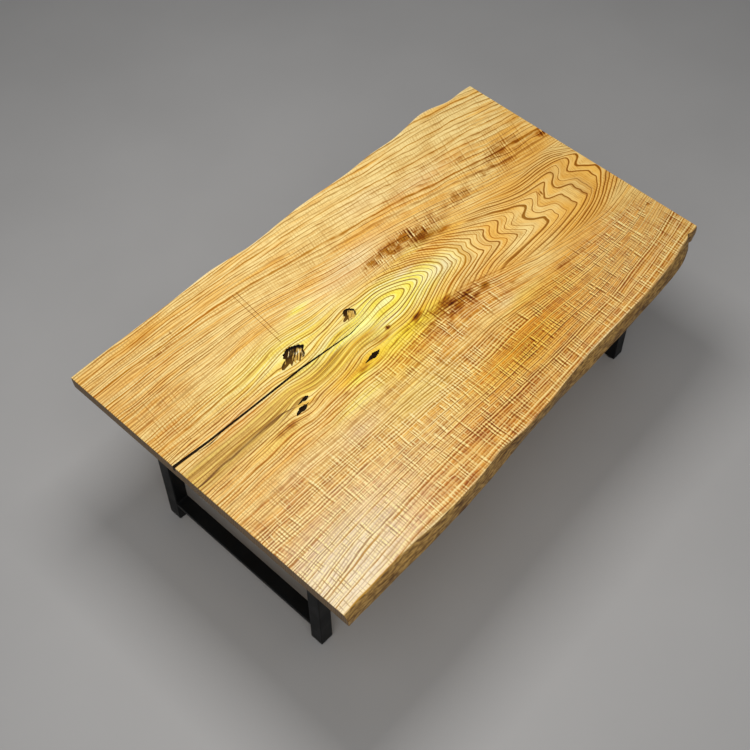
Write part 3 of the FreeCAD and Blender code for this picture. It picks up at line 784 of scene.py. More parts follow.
def knot_outlines():
    """Ragged outline of each knot hole, as a middle and points about it, the largest knot first."""
    turn = np.linspace(-np.pi, np.pi, KNOT_POINTS, endpoint=False)
    circle = np.stack((np.cos(turn), np.sin(turn)), axis=1)
    outlines = []
    for number, places in enumerate(islands("knot_resin")):
        rim = places[places[:, 2] > places[:, 2].max() - TOP_SKIN][:, :2]
        middle = rim.mean(axis=0)
        rim = rim - middle
        angles = np.arctan2(rim[:, 1], rim[:, 0])
        order = np.argsort(angles)
        reach = np.interp(turn, angles[order], np.hypot(*rim.T)[order], period=2.0 * np.pi)
        rags = [(KNOT_RAGS * a, KNOT_RAGS * b, KNOT_SEED * number) for a, b in circle]
        ragged = np.abs([noise.fractal(place, *KNOT_FRACTAL) for place in rags])
        reach = reach * (1.0 - KNOT_RAGGED_SHARE * ragged)
        outlines.append((middle, circle * reach[:, None]))
    outlines.sort(key=lambda outline: -np.ptp(outline[1][:, 0]))
    hanging = ramp(np.cos(turn - BARK_STROKE_HEADING), *BARK_HANGING_COSINES)
    swayed = BARK_STRANDS * turn + BARK_STRAND_SWAY * np.sin(BARK_STRAND_SWAYS * turn)
    gaps = 0.5 + 0.5 * np.sin(swayed)
    for (_, points), growth in zip(outlines, BARK_KNOT_GROWTHS):
        points *= growth * (1.0 - BARK_GAP_SHARE * hanging * gaps)[:, None]
    for (_, points), growth, head in zip(outlines[BARK_KNOTS:], SMALL_KNOT_GROWTHS, SMALL_KNOT_HEADS):
        ragged = [noise.noise((*place, 0.0)) for place in SMALL_KNOT_RAGS_PER_METRE * points]
        points *= growth * (1.0 - SMALL_KNOT_RAGGED_SHARE * np.abs(ragged))[:, None]
        share = points[:, 0] / np.abs(points[:, 0]).max()
        points[:, 1] *= SMALL_KNOT_NARROWING * (1.0 + head * share)
        points[:, 0] *= SMALL_KNOT_STRETCH
    return outlines


def bark_shares(points, outline):
    """Shares down from the black arch of a bark pocket, and across its strands from left to right."""
    heading = np.array((math.cos(BARK_STROKE_HEADING), math.sin(BARK_STROKE_HEADING)))
    beside = np.array((-heading[1], heading[0]))
    down, across = outline @ heading, outline @ beside
    arch = np.flatnonzero(down < 0.0)
    arch = arch[np.argsort(across[arch])]
    hang = points @ heading - np.interp(points @ beside, across[arch], down[arch])
    return hang / np.ptp(down), (points @ beside - across.min()) / np.ptp(across)


def knot_solids():
    """Uneven fillings of the knot holes, and the cutter that makes room for them."""
    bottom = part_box("knot_resin")[0].z
    fill_verts, fill_faces, bark_faces = [], [], set()
    hangs, strands, flecks = [], [], []
    cut_verts, cut_faces = [], []
    for number, (middle, outline) in enumerate(knot_outlines()):
        first = len(fill_verts)
        plan = [outline * (1.0 - ring / KNOT_RINGS) for ring in range(KNOT_RINGS)]
        for ring, points in enumerate(plan):
            fade = min(1.0, BARK_RELIEF_RISE * ring / KNOT_RINGS)
            for point in points + middle:
                place = (*(point * BARK_RELIEF_PER_METRE), number)
                dip = BARK_RELIEF * fade * abs(noise.fractal(place, *BARK_FRACTAL))
                fill_verts.append((*point, SLAB_HIGH.z - FILLING_RECESS - dip))
        fill_verts.append((*middle, SLAB_HIGH.z - FILLING_RECESS - BARK_RELIEF / 2))
        fill_verts.extend((*point, bottom) for point in outline + middle)
        hang, strand = bark_shares(np.concatenate((*plan, [(0.0, 0.0)], outline)), outline)
        hangs.append(hang)
        strands.append(strand)
        flecks.append(np.full(len(hang), BARK_FLECKS[min(number, BARK_KNOTS - 1)]))
        start = len(fill_faces)
        tip = first + KNOT_RINGS * KNOT_POINTS
        for k in range(KNOT_POINTS):
            after = (k + 1) % KNOT_POINTS
            for outer in range(first, tip - KNOT_POINTS, KNOT_POINTS):
                inner = outer + KNOT_POINTS
                fill_faces.append((outer + k, outer + after, inner + after, inner + k))
            inner = tip - KNOT_POINTS
            fill_faces.append((inner + k, inner + after, tip))
            fill_faces.append((first + k, tip + 1 + k, tip + 1 + after, first + after))
        fill_faces.append(tuple(range(tip + 1, tip + 1 + KNOT_POINTS)))
        if number < BARK_KNOTS:
            bark_faces.update(range(start, len(fill_faces)))
        add_prism(cut_verts, cut_faces, outline + middle, bottom, SLAB_HIGH.z + OVERRUN)
    filling = new_object("knot_filling", fill_verts, fill_faces)
    fields = {"hang": hangs, "strand": strands, "flecks": flecks}
    add_fields(filling.data, {name: np.concatenate(values) for name, values in fields.items()})
    for face in filling.data.polygons:
        face.material_index = 0 if face.index in bark_faces else 1
        face.use_smooth = True
    return filling, new_object("knot_cutter", cut_verts, cut_faces)


def add_prism(verts, faces, outline, bottom, top):
    """Adds a closed upright prism to lists of vertices and faces."""
    start = len(verts)
    count = len(outline)
    for level in (bottom, top):
        verts.extend((*point, level) for point in outline)
    faces.append(tuple(range(start, start + count)))
    faces.append(tuple(range(start + count, start + 2 * count)))
    for k in range(count):
        after = (k + 1) % count
        faces.append((start + k, start + after, start + count + after, start + count + k))


def box_solid(name, low, high):
    """Closed box between two corners."""
    corners = [(x, y, z) for x in (low.x, high.x) for y in (low.y, high.y) for z in (low.z, high.z)]
    faces = [(0, 1, 3, 2), (4, 5, 7, 6), (0, 1, 5, 4), (2, 3, 7, 6), (0, 2, 6, 4), (1, 3, 7, 5)]
    return new_object(name, corners, faces)


def groove_cutters():
    """Cutters for the grooves that the steel channels lie in."""
    made = []
    for node in ("butt_channel", "crown_channel"):
        low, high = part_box(node)
        low.z = SLAB_LOW.z - OVERRUN
        made.append(box_solid(node + "_cutter", low, high))
    return made


def insert_cutter():
    """One cutter with a round hole for every threaded insert."""
    verts, faces = [], []
    turn = np.linspace(0.0, 2.0 * np.pi, HOLE_SIDES, endpoint=False)
    circle = np.stack((np.cos(turn), np.sin(turn)), axis=1)
    for node in ("plate_inserts", "channel_inserts"):
        for places in islands(node):
            low, high = places.min(axis=0), places.max(axis=0)
            outline = (low + high)[:2] / 2 + circle * (high[0] - low[0]) / 2
            add_prism(verts, faces, outline, low[2] - OVERRUN, high[2])
    return new_object("insert_cutter", verts, faces)


def carve(piece, cutters):
    """Cuts each cutter out of the piece and removes the cutters."""
    for cutter in cutters:
        cut = piece.modifiers.new("cut", "BOOLEAN")
        cut.operation = "DIFFERENCE"
        cut.solver = "MANIFOLD"
        cut.object = cutter
    depsgraph = bpy.context.evaluated_depsgraph_get()
    carved = bpy.data.meshes.new_from_object(piece.evaluated_get(depsgraph))
    piece.modifiers.clear()
    piece.data = carved
    for cutter in cutters:
        bpy.data.objects.remove(cutter)


def beside_knots(x, y):
    """Across places before the knots pushed the grain lines aside."""
    shifted = y.copy()
    for middle, points in knot_outlines():
        size = min(1.0, np.ptp(points[:, 0]) / FULL_PUSH_LENGTH)
        reach = KNOT_PUSH_REACH * max(LEAST_REACH_SHARE, size)
        aside = y - middle[1]
        near = np.exp(-((x - middle[0]) / reach) ** 2 - np.abs(aside) / reach)
        shifted -= KNOT_PUSH * size * np.tanh(aside / (PUSH_CORE_SHARE * reach)) * near
    return shifted


def heart_distance(along, y):
    """Signed distance from the heart line, measured across the grain lines."""
    across = y / HALF_WIDTH
    guides = [smooth(along, FLOW_STATION_SHARES, row) for row in FLOW_SHARES]
    level = np.full_like(along, FLOW_SHARES[0][0])
    last = len(guides) - 2
    for number, (low, high) in enumerate(zip(guides, guides[1:])):
        share = (across - low) / (high - low)
        share = np.clip(share, -np.inf if number == 0 else 0.0, np.inf if number == last else 1.0)
        level += share * (FLOW_SHARES[number + 1][0] - FLOW_SHARES[number][0])
    return (level - HEART_LEVEL_SHARE) * HALF_WIDTH


def ramp(value, low, high):
    """Rises smoothly from 0 to 1 between two values."""
    share = np.clip((value - low) / (high - low), 0.0, 1.0)
    return share * share * (3.0 - 2.0 * share)


def flank_rings(x, y):
    """Ring lines counted from the heart line, and the signed distance across the grain."""
    aside = heart_distance((x - SLAB_LOW.x) / LENGTH, beside_knots(x, y))
    return RINGS_PER_METRE * (np.hypot(aside, RING_ROUNDING) - RING_ROUNDING), aside


def flame_rings(x, y):
    """Ring lines of the flame figure counted from its first loop, and the distance outside its ridges."""
    along = (x - SLAB_LOW.x) / LENGTH
    aside = heart_distance(along, beside_knots(x, y))
    ridge = heart_distance(along, HALF_WIDTH * smooth(along, RIDGE_STATION_SHARES, RIDGE_SHARES))
    outside = aside - np.clip(aside, 0.0, np.clip(ridge, 0.0, None))
    valley = y - HALF_WIDTH * smooth(along, VALLEY_STATION_SHARES, VALLEY_SHARES)
    drawn = smooth(along, VALLEY_STATION_SHARES, VALLEY_DEPTHS)
    wave = drawn * (1.0 - ramp(np.abs(valley), 0.0, VALLEY_HALF_WIDTH))
    tremble = np.sin(2.0 * np.pi * (y / FLAME_TREMBLE_LENGTH + FLAME_TREMBLE_DRIFT * along))
    tremble = FLAME_TREMBLE * tremble * ramp(along, *FLAME_TREMBLE_START_SHARES)
    reached = along + (wave + tremble) / LENGTH
    closed = smooth(reached, CLOSED_STATION_SHARES, CLOSED_RINGS)
    fan = smooth(along, FAN_STATION_SHARES, FAN_RINGS_PER_METRE)
    return closed + fan * (np.hypot(outside, FLAME_ROUNDING) - FLAME_ROUNDING), outside


def crowding(rings, x, y):
    """Ring lines in a metre, measured straight across them."""
    probe = COLUMN_STEP / 2
    here = rings(x, y)[0]
    slope_x = (rings(x + probe, y)[0] - here) / probe
    slope_y = (rings(x, y + probe)[0] - here) / probe
    least, most = (share * RINGS_PER_METRE for share in CROWDING_SHARES)
    return np.clip(np.hypot(slope_x, slope_y), least, most)


def grain_fields(places):
    """Grain values at places in the slab, by attribute name."""
    x, y, z = places.T
    distance = x - SLAB_LOW.x
    along = distance / LENGTH
    across = y / HALF_WIDTH
    flank, aside = flank_rings(x, y)
    flame, outside = flame_rings(x, y)
    lean = RIPPLE_LEAN_NEAR + (RIPPLE_LEAN_FAR - RIPPLE_LEAN_NEAR) * along
    return {
        "aside": aside,
        "flank": flank,
        "flank_crowding": crowding(flank_rings, x, y),
        "figure": flame,
        "figure_crowding": crowding(flame_rings, x, y),
        "figure_share": ramp(along, *FLAME_START_SHARES) * (1.0 - ramp(np.abs(outside), *FLAME_HALF_WIDTHS)),
        "end_ring": np.hypot(aside, SLAB_HIGH.z - z),
        "along": distance - lean * np.clip(y, 0.0, None),
        "rim": rim_distance(x, y),
        **{name: spots(along, across, table) for name, table in SPOT_SHARES.items()},
        "dark_vein": vein_distance(along, across, DARK_VEIN_ALONG, DARK_VEIN_ACROSS),
        "orange_vein": vein_distance(along, across, ORANGE_VEIN_ALONG, ORANGE_VEIN_ACROSS),
        "fork": vein_distance(along, across, FORK_ALONG, fork_shares()),
        **score_fields(along, across),
    }


def rim_distance(x, y):
    """Distance from the nearer live edge of the top face."""
    lines = live_edge_lines()
    return np.minimum(np.interp(x, *lines[1, 0].T) - y, y - np.interp(x, *lines[-1, 0].T))


def fork_shares():
    """Across shares of the crack's second line at the stations of the fork."""
    x, near, far, _ = crack_banks(SLAB_LOW.x)
    middle = np.interp(SLAB_LOW.x + FORK_ALONG * LENGTH, x, (near + far) / 2)
    return (middle - FORK_OFFSETS) / HALF_WIDTH


def vein_distance(along, across, stations, shares):
    """Signed distance from a vein, which grows fast near the vein's ends so that it comes to a point."""
    taper = ramp(along, stations[0], stations[0] + VEIN_TAPER_SHARE)
    taper = taper * (1.0 - ramp(along, stations[-1] - VEIN_TAPER_SHARE, stations[-1]))
    return (across - smooth(along, stations, shares)) * HALF_WIDTH / np.clip(taper, LEAST_VEIN_TAPER, 1.0)


def score_fields(along, across):
    """Signed distance from each score, by attribute name, and far more beyond its ends."""
    fields = {}
    for number, ends in enumerate(SCORE_SHARES):
        start, end = np.array(ends).reshape(2, 2) * (LENGTH, HALF_WIDTH)
        line = (end - start) / np.linalg.norm(end - start)
        x, y = along * LENGTH - start[0], across * HALF_WIDTH - start[1]
        aside = y * line[0] - x * line[1]
        run = x * line[0] + y * line[1]
        beyond = (run < 0.0) | (run > np.linalg.norm(end - start))
        fields[f"score_{number}"] = aside + np.sign(aside) * beyond
    return fields


def add_fields(mesh, fields):
    """Stores each field as a float attribute of the mesh's vertices."""
    for name, values in fields.items():
        layer = mesh.attributes.new(name, "FLOAT", "POINT")
        layer.data.foreach_set("value", values.astype(np.float32))


def slab_piece(materials):
    """The wood slab with its fillings: uneven edges, crack, knot holes, grooves and insert holes."""
    slab = slab_blank()
    crack, crack_cutter = crack_solids()
    knots, knot_cutter = knot_solids()
    carve(slab, [crack_cutter, knot_cutter, *groove_cutters(), insert_cutter()])
    mesh = slab.data
    places = np.empty(3 * len(mesh.vertices))
    mesh.vertices.foreach_get("co", places)
    add_fields(mesh, grain_fields(places.reshape(-1, 3)))
    mesh.materials.clear()
    for name in ("wood", "live_edge", "end_grain"):
        mesh.materials.append(materials[name])
    for face in mesh.polygons:
        normal, middle = face.normal, face.center
        flat_end = abs(normal.x) > FACING_COSINE
        edge = abs(middle.y) > EDGE_ZONE_SHARE * HALF_WIDTH
        below_skin = min(SLAB_HIGH.z - middle.z, middle.z - SLAB_LOW.z) > ARRIS
        level = abs(normal.z) > FACING_COSINE and not (edge and below_skin)
        face.material_index = 0 if level else 1 if edge and not flat_end else 2
        face.use_smooth = True
    mesh.set_sharp_from_angle(angle=SHARP_ANGLE)
    crack.data.materials.append(materials["black_resin"])
    knots.data.materials.append(materials["bark"])
    knots.data.materials.append(materials["black_resin"])
    for piece, node, slot in ((slab, "slab_top", "slab_wood"), (crack, "crack_resin", "black_resin"),
                              (knots, "knot_resin", "black_resin")):
        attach(piece, "table")
        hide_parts(node)


class Finish:
    """A node material around one Principled shader, and the values by name that its tones use."""

    def __init__(self, name):
        self.material = bpy.data.materials.new(name)
        self.material.use_nodes = True
        self.tree = self.material.node_tree
        self.shader = self.tree.nodes["Principled BSDF"]
        self.values = {}

    def feed(self, socket, value):
        if isinstance(value, bpy.types.NodeSocket):
            self.tree.links.new(value, socket)
        elif socket.type == "RGBA":
            socket.default_value = (*value, 1.0)
        else:
            socket.default_value = value

    def add(self, kind, inputs, **settings):
        node = self.tree.nodes.new(kind)
        for name, value in settings.items():
            setattr(node, name, value)
        for socket, value in inputs.items():
            self.feed(node.inputs[socket], value)
        return node

    def math(self, operation, *values):
        return self.add("ShaderNodeMath", dict(enumerate(values)), operation=operation).outputs[0]

    def fold(self, operation, value, *others):
        """One operation on a value and each of the others in turn."""
        for other in others:
            value = self.math(operation, value, other)
        return value

    def times(self, *values):
        return self.fold("MULTIPLY", *values)

    def most(self, *values):
        return self.fold("MAXIMUM", *values)

    def least(self, *values):
        return self.fold("MINIMUM", *values)

    def plus(self, value, factor, base):
        """A base and a value times a factor."""
        return self.math("MULTIPLY_ADD", value, factor, base)

    def rest(self, share):
        """What a share leaves of 1."""
        return self.math("SUBTRACT", 1.0, share)

    def attribute(self, name):
        return self.add("ShaderNodeAttribute", {}, attribute_name=name).outputs["Fac"]

    def place(self):
        return self.add("ShaderNodeTexCoord", {}).outputs["Object"]

    def vector(self, x, y, z=0.0):
        return self.add("ShaderNodeCombineXYZ", {0: x, 1: y, 2: z}).outputs[0]

    def noise(self, vector, scale=1.0, detail=2.0, roughness=0.5):
        """Soft noise, with one scale or one for each axis."""
        if isinstance(scale, tuple):
            stretched = self.add("ShaderNodeVectorMath", {0: vector, 1: scale}, operation="MULTIPLY")
            vector, scale = stretched.outputs[0], 1.0
        inputs = {"Vector": vector, "Scale": scale, "Detail": detail, "Roughness": roughness}
        return self.add("ShaderNodeTexNoise", inputs).outputs["Fac"]

    def flow_noise(self, table, across, side=0.0):
        """Noises by name that run along the grain, at places across it."""
        along = self.attribute("along")
        noises = {}
        for name, (per_metre_along, per_metre_across, *texture) in table.items():
            place = (self.times(along, per_metre_along), self.times(across, per_metre_across), side)
            noises[name] = self.noise(self.vector(*place), 1.0, *texture)
        return noises

    def noise_1d(self, value, scale):
        inputs = {"W": value, "Scale": scale}
        return self.add("ShaderNodeTexNoise", inputs, noise_dimensions="1D").outputs["Fac"]

    def chance(self, count):
        """A value of its own for each whole number."""
        return self.add("ShaderNodeTexWhiteNoise", {"W": count}, noise_dimensions="1D").outputs["Value"]

    def step(self, value, low, high, to_low=0.0, to_high=1.0):
        inputs = {"Value": value, "From Min": low, "From Max": high, "To Min": to_low, "To Max": to_high}
        return self.add("ShaderNodeMapRange", inputs, interpolation_type="SMOOTHSTEP").outputs[0]

    def band(self, value, low, full, fade, high):
        return self.times(self.step(value, low, full), self.step(value, fade, high, 1.0, 0.0))

    def blend(self, share, first, second):
        return self.plus(share, self.math("SUBTRACT", second, first), first)

    def mix(self, factor, first, second, blend="MIX"):
        inputs = {0: factor, 6: first, 7: second}
        return self.add("ShaderNodeMix", inputs, data_type="RGBA", blend_type=blend).outputs[2]

    def product(self, factors):
        """Product of factors, which are numbers and names of values with their steps."""
        parts = []
        for factor in factors:
            if isinstance(factor, tuple):
                name, *span = factor
                value = self.values[name]
                factor = self.step(value, *span) if span else value
            parts.append(factor)
        return self.times(*parts)

    def tone(self, name):
        """Colour of a tone's layers, from the ground up."""
        ground, *layers = TONES[name]
        for blend, top, *factors in layers:
            top = self.tone(top) if isinstance(top, str) else top
            ground = self.mix(self.product(factors), ground, top, blend)
        return ground

    def bump(self, height, distance, strength):
        inputs = {"Height": height, "Distance": distance, "Strength": strength}
        return self.add("ShaderNodeBump", inputs).outputs["Normal"]

    def done(self, **sockets):
        for name, value in sockets.items():
            self.feed(self.shader.inputs[name.replace("_", " ")], value)
        return self.material


def grain_pattern(wood, rings, crowding, side, steady):
    """Streaks, ring lines, fibres and pores that follow one count of ring lines."""
    noises = wood.flow_noise(GRAIN_NOISE, wood.times(rings, 1.0 / RINGS_PER_METRE), side)
    turns = wood.math("ADD", rings, wood.noise_1d(rings, RING_JITTER_SCALE))
    count = wood.math("FLOOR", turns)
    share = wood.math("FRACT", turns)
    own = wood.chance(count)
    odd = wood.times(wood.math("FRACT", wood.times(count, 0.5)), 2.0)
    thinned = wood.times(odd, wood.step(crowding, *THINNED_CROWDING_STEP))
    width = wood.least(wood.plus(crowding, LINE_WIDTH, LEAST_LINE_SHARE), MOST_LINE_SHARE)
    into = wood.math("DIVIDE", wood.rest(share), width)
    past = wood.math("DIVIDE", share, width)
    broken = wood.step(noises["breaks"], *BREAK_STEP, steady, 1.0)
    weight = wood.times(wood.step(own, *LINE_WEIGHT_STEP, steady, 1.0), broken, wood.rest(thinned))
    return {
        "depth": wood.blend(STREAK_SHARE, noises["band"], noises["streak"]),
        "band": noises["band"],
        "own": own,
        "ring": wood.times(weight, wood.band(into, *DARK_LINE_BAND)),
        "pale_line": wood.times(wood.band(past, *PALE_LINE_BAND), wood.step(own, *PALE_LINE_STEP)),
        "fibre": noises["fibre"],
        "halo": wood.times(weight, wood.step(into, *HALO_STEP)),
        "pores": wood.step(noises["pores"], *PORE_STEP),
        "patch": wood.step(noises["patch"], *PATCH_STEP),
    }


def cross_pattern(wood, rings):
    """Dark and pale threads of the cross grain ripple, and fine ticks across the plain grain."""
    values = wood.values
    cross = wood.plus(values["along"], THREADS_PER_METRE, wood.times(values["thread_wander"], THREAD_WANDER))
    cross = wood.plus(wood.noise_1d(cross, THREAD_JITTER_SCALE), THREAD_JITTER, cross)
    share = wood.math("FRACT", cross)
    count = wood.math("FLOOR", cross)
    own = wood.chance(count)
    across = wood.times(rings, SEGMENTS_PER_METRE / RINGS_PER_METRE)
    place = wood.vector(wood.times(count, THREAD_SEED), across)
    segment = wood.noise(place, detail=SEGMENT_DETAIL)
    strength = wood.times(
        wood.step(values["thread_patch"], *THREAD_PATCH_STEP),
        wood.step(values["ripple"], *THREAD_RIPPLE_STEP),
        wood.step(own, *THREAD_STEP),
    )
    dark = wood.times(wood.band(share, *DARK_THREAD_BAND), wood.step(segment, *DARK_SEGMENT_STEP))
    pale = wood.times(wood.band(share, *PALE_THREAD_BAND), wood.step(segment, *PALE_SEGMENT_STEP))
    curl = wood.vector(wood.times(cross, CURLS_PER_THREAD), wood.times(across, CURLS_PER_SEGMENT))
    return {
        "dark_thread": wood.times(dark, strength),
        "pale_thread": wood.times(pale, strength),
        "ticks": wood.times(wood.band(share, *TICK_BAND), wood.step(values["tick_patch"], *TICK_STEP)),
        "hatch": wood.times(wood.math("SUBTRACT", dark, pale), wood.step(own, *HATCH_STEP)),
        "curl": wood.noise(curl),
    }


def add_grain_values(wood):
    """Adds the zones, the grain and the cross grain of the top face to the values by name."""
    values = wood.values
    for name in ("along", "aside", "brown", "ripple", "pale_wood_and_painted_sheen", "gold", "rim"):
        values[name] = wood.attribute(name)
    place = wood.place()
    for name, per_metre in PLACE_NOISE.items():
        values[name] = wood.noise(place, per_metre)
    values["heart"] = wood.step(wood.attribute("heart"), *HEART_STEP)
    values["clear"] = wood.step(values["heart"], *CLEAR_STEP)
    values["calm"] = wood.step(wood.attribute("calm"), *CALM_STEP)
    values["plain"] = wood.rest(values["calm"])
    shift = wood.plus(values["sway"], SWAY_RINGS, wood.times(values["tremor"], TREMOR_RINGS))
    flank_rings = wood.math("ADD", wood.attribute("flank"), shift)
    flame_rings = wood.plus(shift, FLAME_SWAY_SHARE, wood.attribute("figure"))
    side = wood.step(values["aside"], *FLANK_SIDE_STEP)
    flank = grain_pattern(wood, flank_rings, wood.attribute("flank_crowding"), side, FLANK_STEADINESS)
    flame = grain_pattern(wood, flame_rings, wood.attribute("figure_crowding"), FLAME_SIDE, FLAME_STEADINESS)
    flaming = wood.attribute("figure_share")
    values.update({name: wood.blend(flaming, flank[name], flame[name]) for name in flank})
    values.update(cross_pattern(wood, flank_rings))
    values.update(wood.flow_noise(WASH_NOISE, values["aside"]))
    weave = wood.times(wood.step(values["ripple"], *WEAVE_STEP), wood.rest(flaming), values["plain"])
    values["weave"] = weave
    depth = wood.blend(wood.times(flaming, FLAME_EVENNESS), values["depth"], FLAME_DEPTH)
    depth = wood.blend(wood.times(weave, WEAVE_EVENNESS), depth, WEAVE_DEPTH)
    shade = wood.plus(values["brown"], BROWN_SHADE, wood.math("SUBTRACT", depth, CLOUD_SHADE / 2))
    values["shade"] = wood.plus(values["cloud"], CLOUD_SHADE, shade)
    values["pale"] = wood.most(wood.times(values["pale_line"], PALE_LINE_SHARE), values["pale_thread"])
    values["dark"] = wood.most(*(wood.product(factors) for factors in DARK_LINES))


def add_mark_values(wood):
    """Adds the stains, smudges, veins, fork and scores of the top face to the values by name."""
    values = wood.values
    hatch = wood.plus(values["hatch"], HATCH_SHARE, wood.step(values["speckle"], *STAIN_SPECKLE_STEP))
    stain = wood.times(wood.attribute("stain"), hatch)
    values["stain"] = wood.plus(values["dark"], wood.times(stain, STAIN_LINE_SHARE), stain)
    speckled = wood.step(values["speckle"], *SMUDGE_SPECKLE_STEP)
    values["smudge"] = wood.times(wood.attribute("smudge"), speckled)
    for name in ("orange_vein", "dark_vein"):
        aside = wood.math("SUBTRACT", wood.attribute(name), VEIN_SWAY / 2)
        values[name] = wood.math("ABSOLUTE", wood.plus(values["sway"], VEIN_SWAY, aside))
    values["fork"] = wood.math("ABSOLUTE", wood.attribute("fork"))
    scores = [wood.attribute(f"score_{number}") for number in range(len(SCORE_SHARES))]
    values["score"] = wood.least(*(wood.math("ABSOLUTE", score) for score in scores))


def wood_finish():
    """Oiled figured wood: ring lines, cross grain ripple, pores, yellow heart and brown stains, with a
    painted sheen and a painted highlight along the edges.
    """
    wood = Finish("oiled_wood")
    add_grain_values(wood)
    add_mark_values(wood)
    ring, fibre = wood.values["ring"], wood.values["fibre"]
    height = wood.plus(ring, LINE_RELIEF, wood.times(fibre, FIBRE_RELIEF))
    height = wood.plus(wood.values["pores"], PORE_RELIEF, height)
    polish = wood.plus(ring, LINE_DULLNESS, fibre)
    return wood.done(Base_Color=wood.tone("top"), Roughness=wood.step(polish, *TOP_ROUGHNESS_STEP),
                     Normal=wood.bump(height, *TOP_RELIEF), Specular_IOR_Level=TOP_SPECULAR)


def live_edge_finish():
    """Bark-free natural edge: darker, with slanting fibres and shallow tool marks."""
    edge = Finish("live_edge_wood")
    place = edge.place()
    fibre = edge.noise(place, EDGE_FIBRES_PER_METRE, *EDGE_FIBRE_TEXTURE)
    slant = {"Vector": place, "Rotation": (0.0, EDGE_MARK_SLANT, 0.0), "Scale": EDGE_MARKS_PER_METRE}
    marks = edge.noise(edge.add("ShaderNodeMapping", slant).outputs[0], detail=EDGE_MARK_DETAIL)
    edge.values.update(fibre=fibre, marks=marks, cloud=edge.noise(place, EDGE_CLOUDS_PER_METRE))
    height = edge.plus(marks, EDGE_MARK_RELIEF, edge.times(fibre, FIBRE_RELIEF))
    return edge.done(Base_Color=edge.tone("live_edge"), Roughness=edge.step(fibre, *EDGE_ROUGHNESS_STEP),
                     Normal=edge.bump(height, *EDGE_RELIEF))


def end_grain_finish():
    """Sawn and sanded end grain: ring arcs and fine saw marks."""
    end = Finish("end_grain_wood")
    place = end.place()
    ring = end.plus(end.noise(place, END_WAVER_PER_METRE), END_WAVER, end.attribute("end_ring"))
    late = end.step(end.math("FRACT", end.times(ring, END_RINGS_PER_METRE)), *END_LATE_STEP)
    saw = end.noise(place, SAW_MARKS_PER_METRE, SAW_MARK_DETAIL)
    end.values.update(late=late, saw=saw)
    height = end.plus(saw, SAW_RELIEF, end.times(late, END_LATE_RELIEF))
    return end.done(Base_Color=end.tone("end_grain"), Roughness=end.step(saw, *END_ROUGHNESS_STEP),
                    Normal=end.bump(height, *END_RELIEF))


def bark_finish():
    """Bark pocket: a black arch, brown strands that hang from it and pale flecks of wood between them."""
    bark = Finish("bark_pocket")
    turned = {"Vector": bark.place(), "Rotation": (0.0, 0.0, BARK_STROKE_HEADING), "Scale": BARK_STROKE_SIZE}
    slant = bark.add("ShaderNodeMapping", turned, vector_type="TEXTURE").outputs[0]
    stroke = bark.noise(slant, 1.0, *BARK_STROKE_TEXTURE)
    hang = bark.math("SUBTRACT", bark.attribute("hang"), BARK_WAVER / 2)
    left = bark.step(bark.attribute("strand"), *BARK_LEFT_STEP)
    bark.values.update(
        fleck=bark.noise(slant, BARK_FLECKS_PER_STROKE),
        flecks=bark.attribute("flecks"),
        hang=bark.plus(stroke, BARK_WAVER, hang),
        strands=bark.math("ADD", stroke, left),
    )
    return bark.done(Base_Color=bark.tone("bark"), Roughness=bark.step(stroke, *BARK_ROUGHNESS_STEP),
                     Normal=bark.bump(stroke, *BARK_BUMP), Specular_IOR_Level=BARK_SPECULAR)


def plain_finish(name, scale, detail, first, second, roughness, relief=None, peel=None, **sockets):
    """Plain material whose tone and polish follow a mottle, and its relief the mottle or a finer peel."""
    plain = Finish(name)
    place = plain.place()
    mottle = plain.noise(place, scale, detail)
    if relief:
        sockets["Normal"] = plain.bump(plain.noise(place, peel) if peel else mottle, *relief)
    tone = plain.mix(mottle, first, second)
    return plain.done(Base_Color=tone, Roughness=plain.step(mottle, *MOTTLE_STEP, *roughness), **sockets)


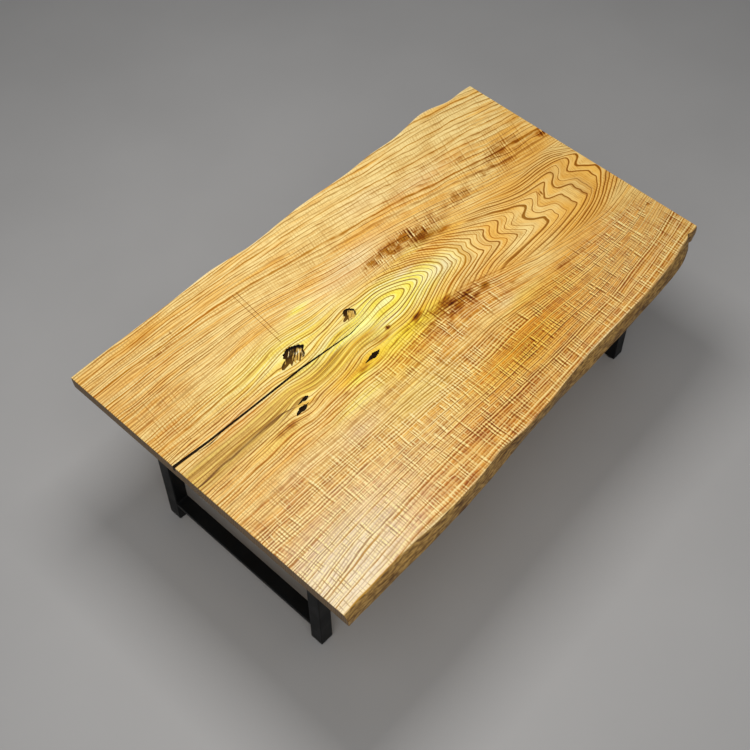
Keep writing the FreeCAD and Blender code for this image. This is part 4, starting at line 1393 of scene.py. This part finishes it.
def dress_frame():
    """Gives every carried-over node the finish of its material slot."""
    finishes = {slot: plain_finish(**values) for slot, values in FRAME_FINISHES.items()}
    for part in frame["record"]["subparts"]:
        finish = finishes.get(part["material_slot"])
        if finish is None:
            continue
        for holder in frame["nodes"][part["node"]].material_slots:
            holder.material = finish


def floor_stage():
    """Pale floor plane."""
    corners = [(a * FLOOR_HALF, b * FLOOR_HALF, 0.0) for a, b in ((-1, -1), (1, -1), (1, 1), (-1, 1))]
    floor = new_object("floor", corners, [(0, 1, 2, 3)])
    floor.data.materials.append(plain_finish(**FLOOR_FINISH))


def area_light(name, place, target, size, power):
    """Square soft light that faces a target."""
    data = bpy.data.lights.new(name, "AREA")
    data.shape = "SQUARE"
    data.size = size
    data.energy = power
    light = bpy.data.objects.new(name, data)
    bpy.context.scene.collection.objects.link(light)
    light.location = place
    light.rotation_euler = (Vector(target) - Vector(place)).to_track_quat("-Z", "Y").to_euler()


def studio_light():
    """Soft overhead key, a wide fill and an even pale surround."""
    area_light("key_light", **KEY_LIGHT)
    area_light("fill_light", **FILL_LIGHT)
    world = bpy.context.scene.world or bpy.data.worlds.new("surround")
    bpy.context.scene.world = world
    world.use_nodes = True
    sky = world.node_tree.nodes["Background"]
    sky.inputs["Color"].default_value = SKY_COLOUR
    sky.inputs["Strength"].default_value = SKY_STRENGTH


def photo_camera():
    """Camera above the butt end, looking down along the table."""
    data = bpy.data.cameras.new("camera")
    data.sensor_width = CAMERA_SENSOR
    data.lens = CAMERA_LENS
    camera = bpy.data.objects.new("camera", data)
    bpy.context.scene.collection.objects.link(camera)
    turn = Matrix.Rotation(CAMERA_HEADING, 4, "Z") @ Matrix.Rotation(CAMERA_TILT, 4, "X")
    camera.matrix_world = Matrix.Translation(CAMERA_PLACE) @ turn @ Matrix.Rotation(CAMERA_ROLL, 4, "Z")
    bpy.context.scene.camera = camera


bpy.context.scene.view_settings.view_transform = "Standard"
photo_camera()
floor_stage()
studio_light()
slab_piece({
    "wood": wood_finish(),
    "live_edge": live_edge_finish(),
    "end_grain": end_grain_finish(),
    "black_resin": plain_finish(**RESIN_FINISH),
    "bark": bark_finish(),
})
dress_frame()
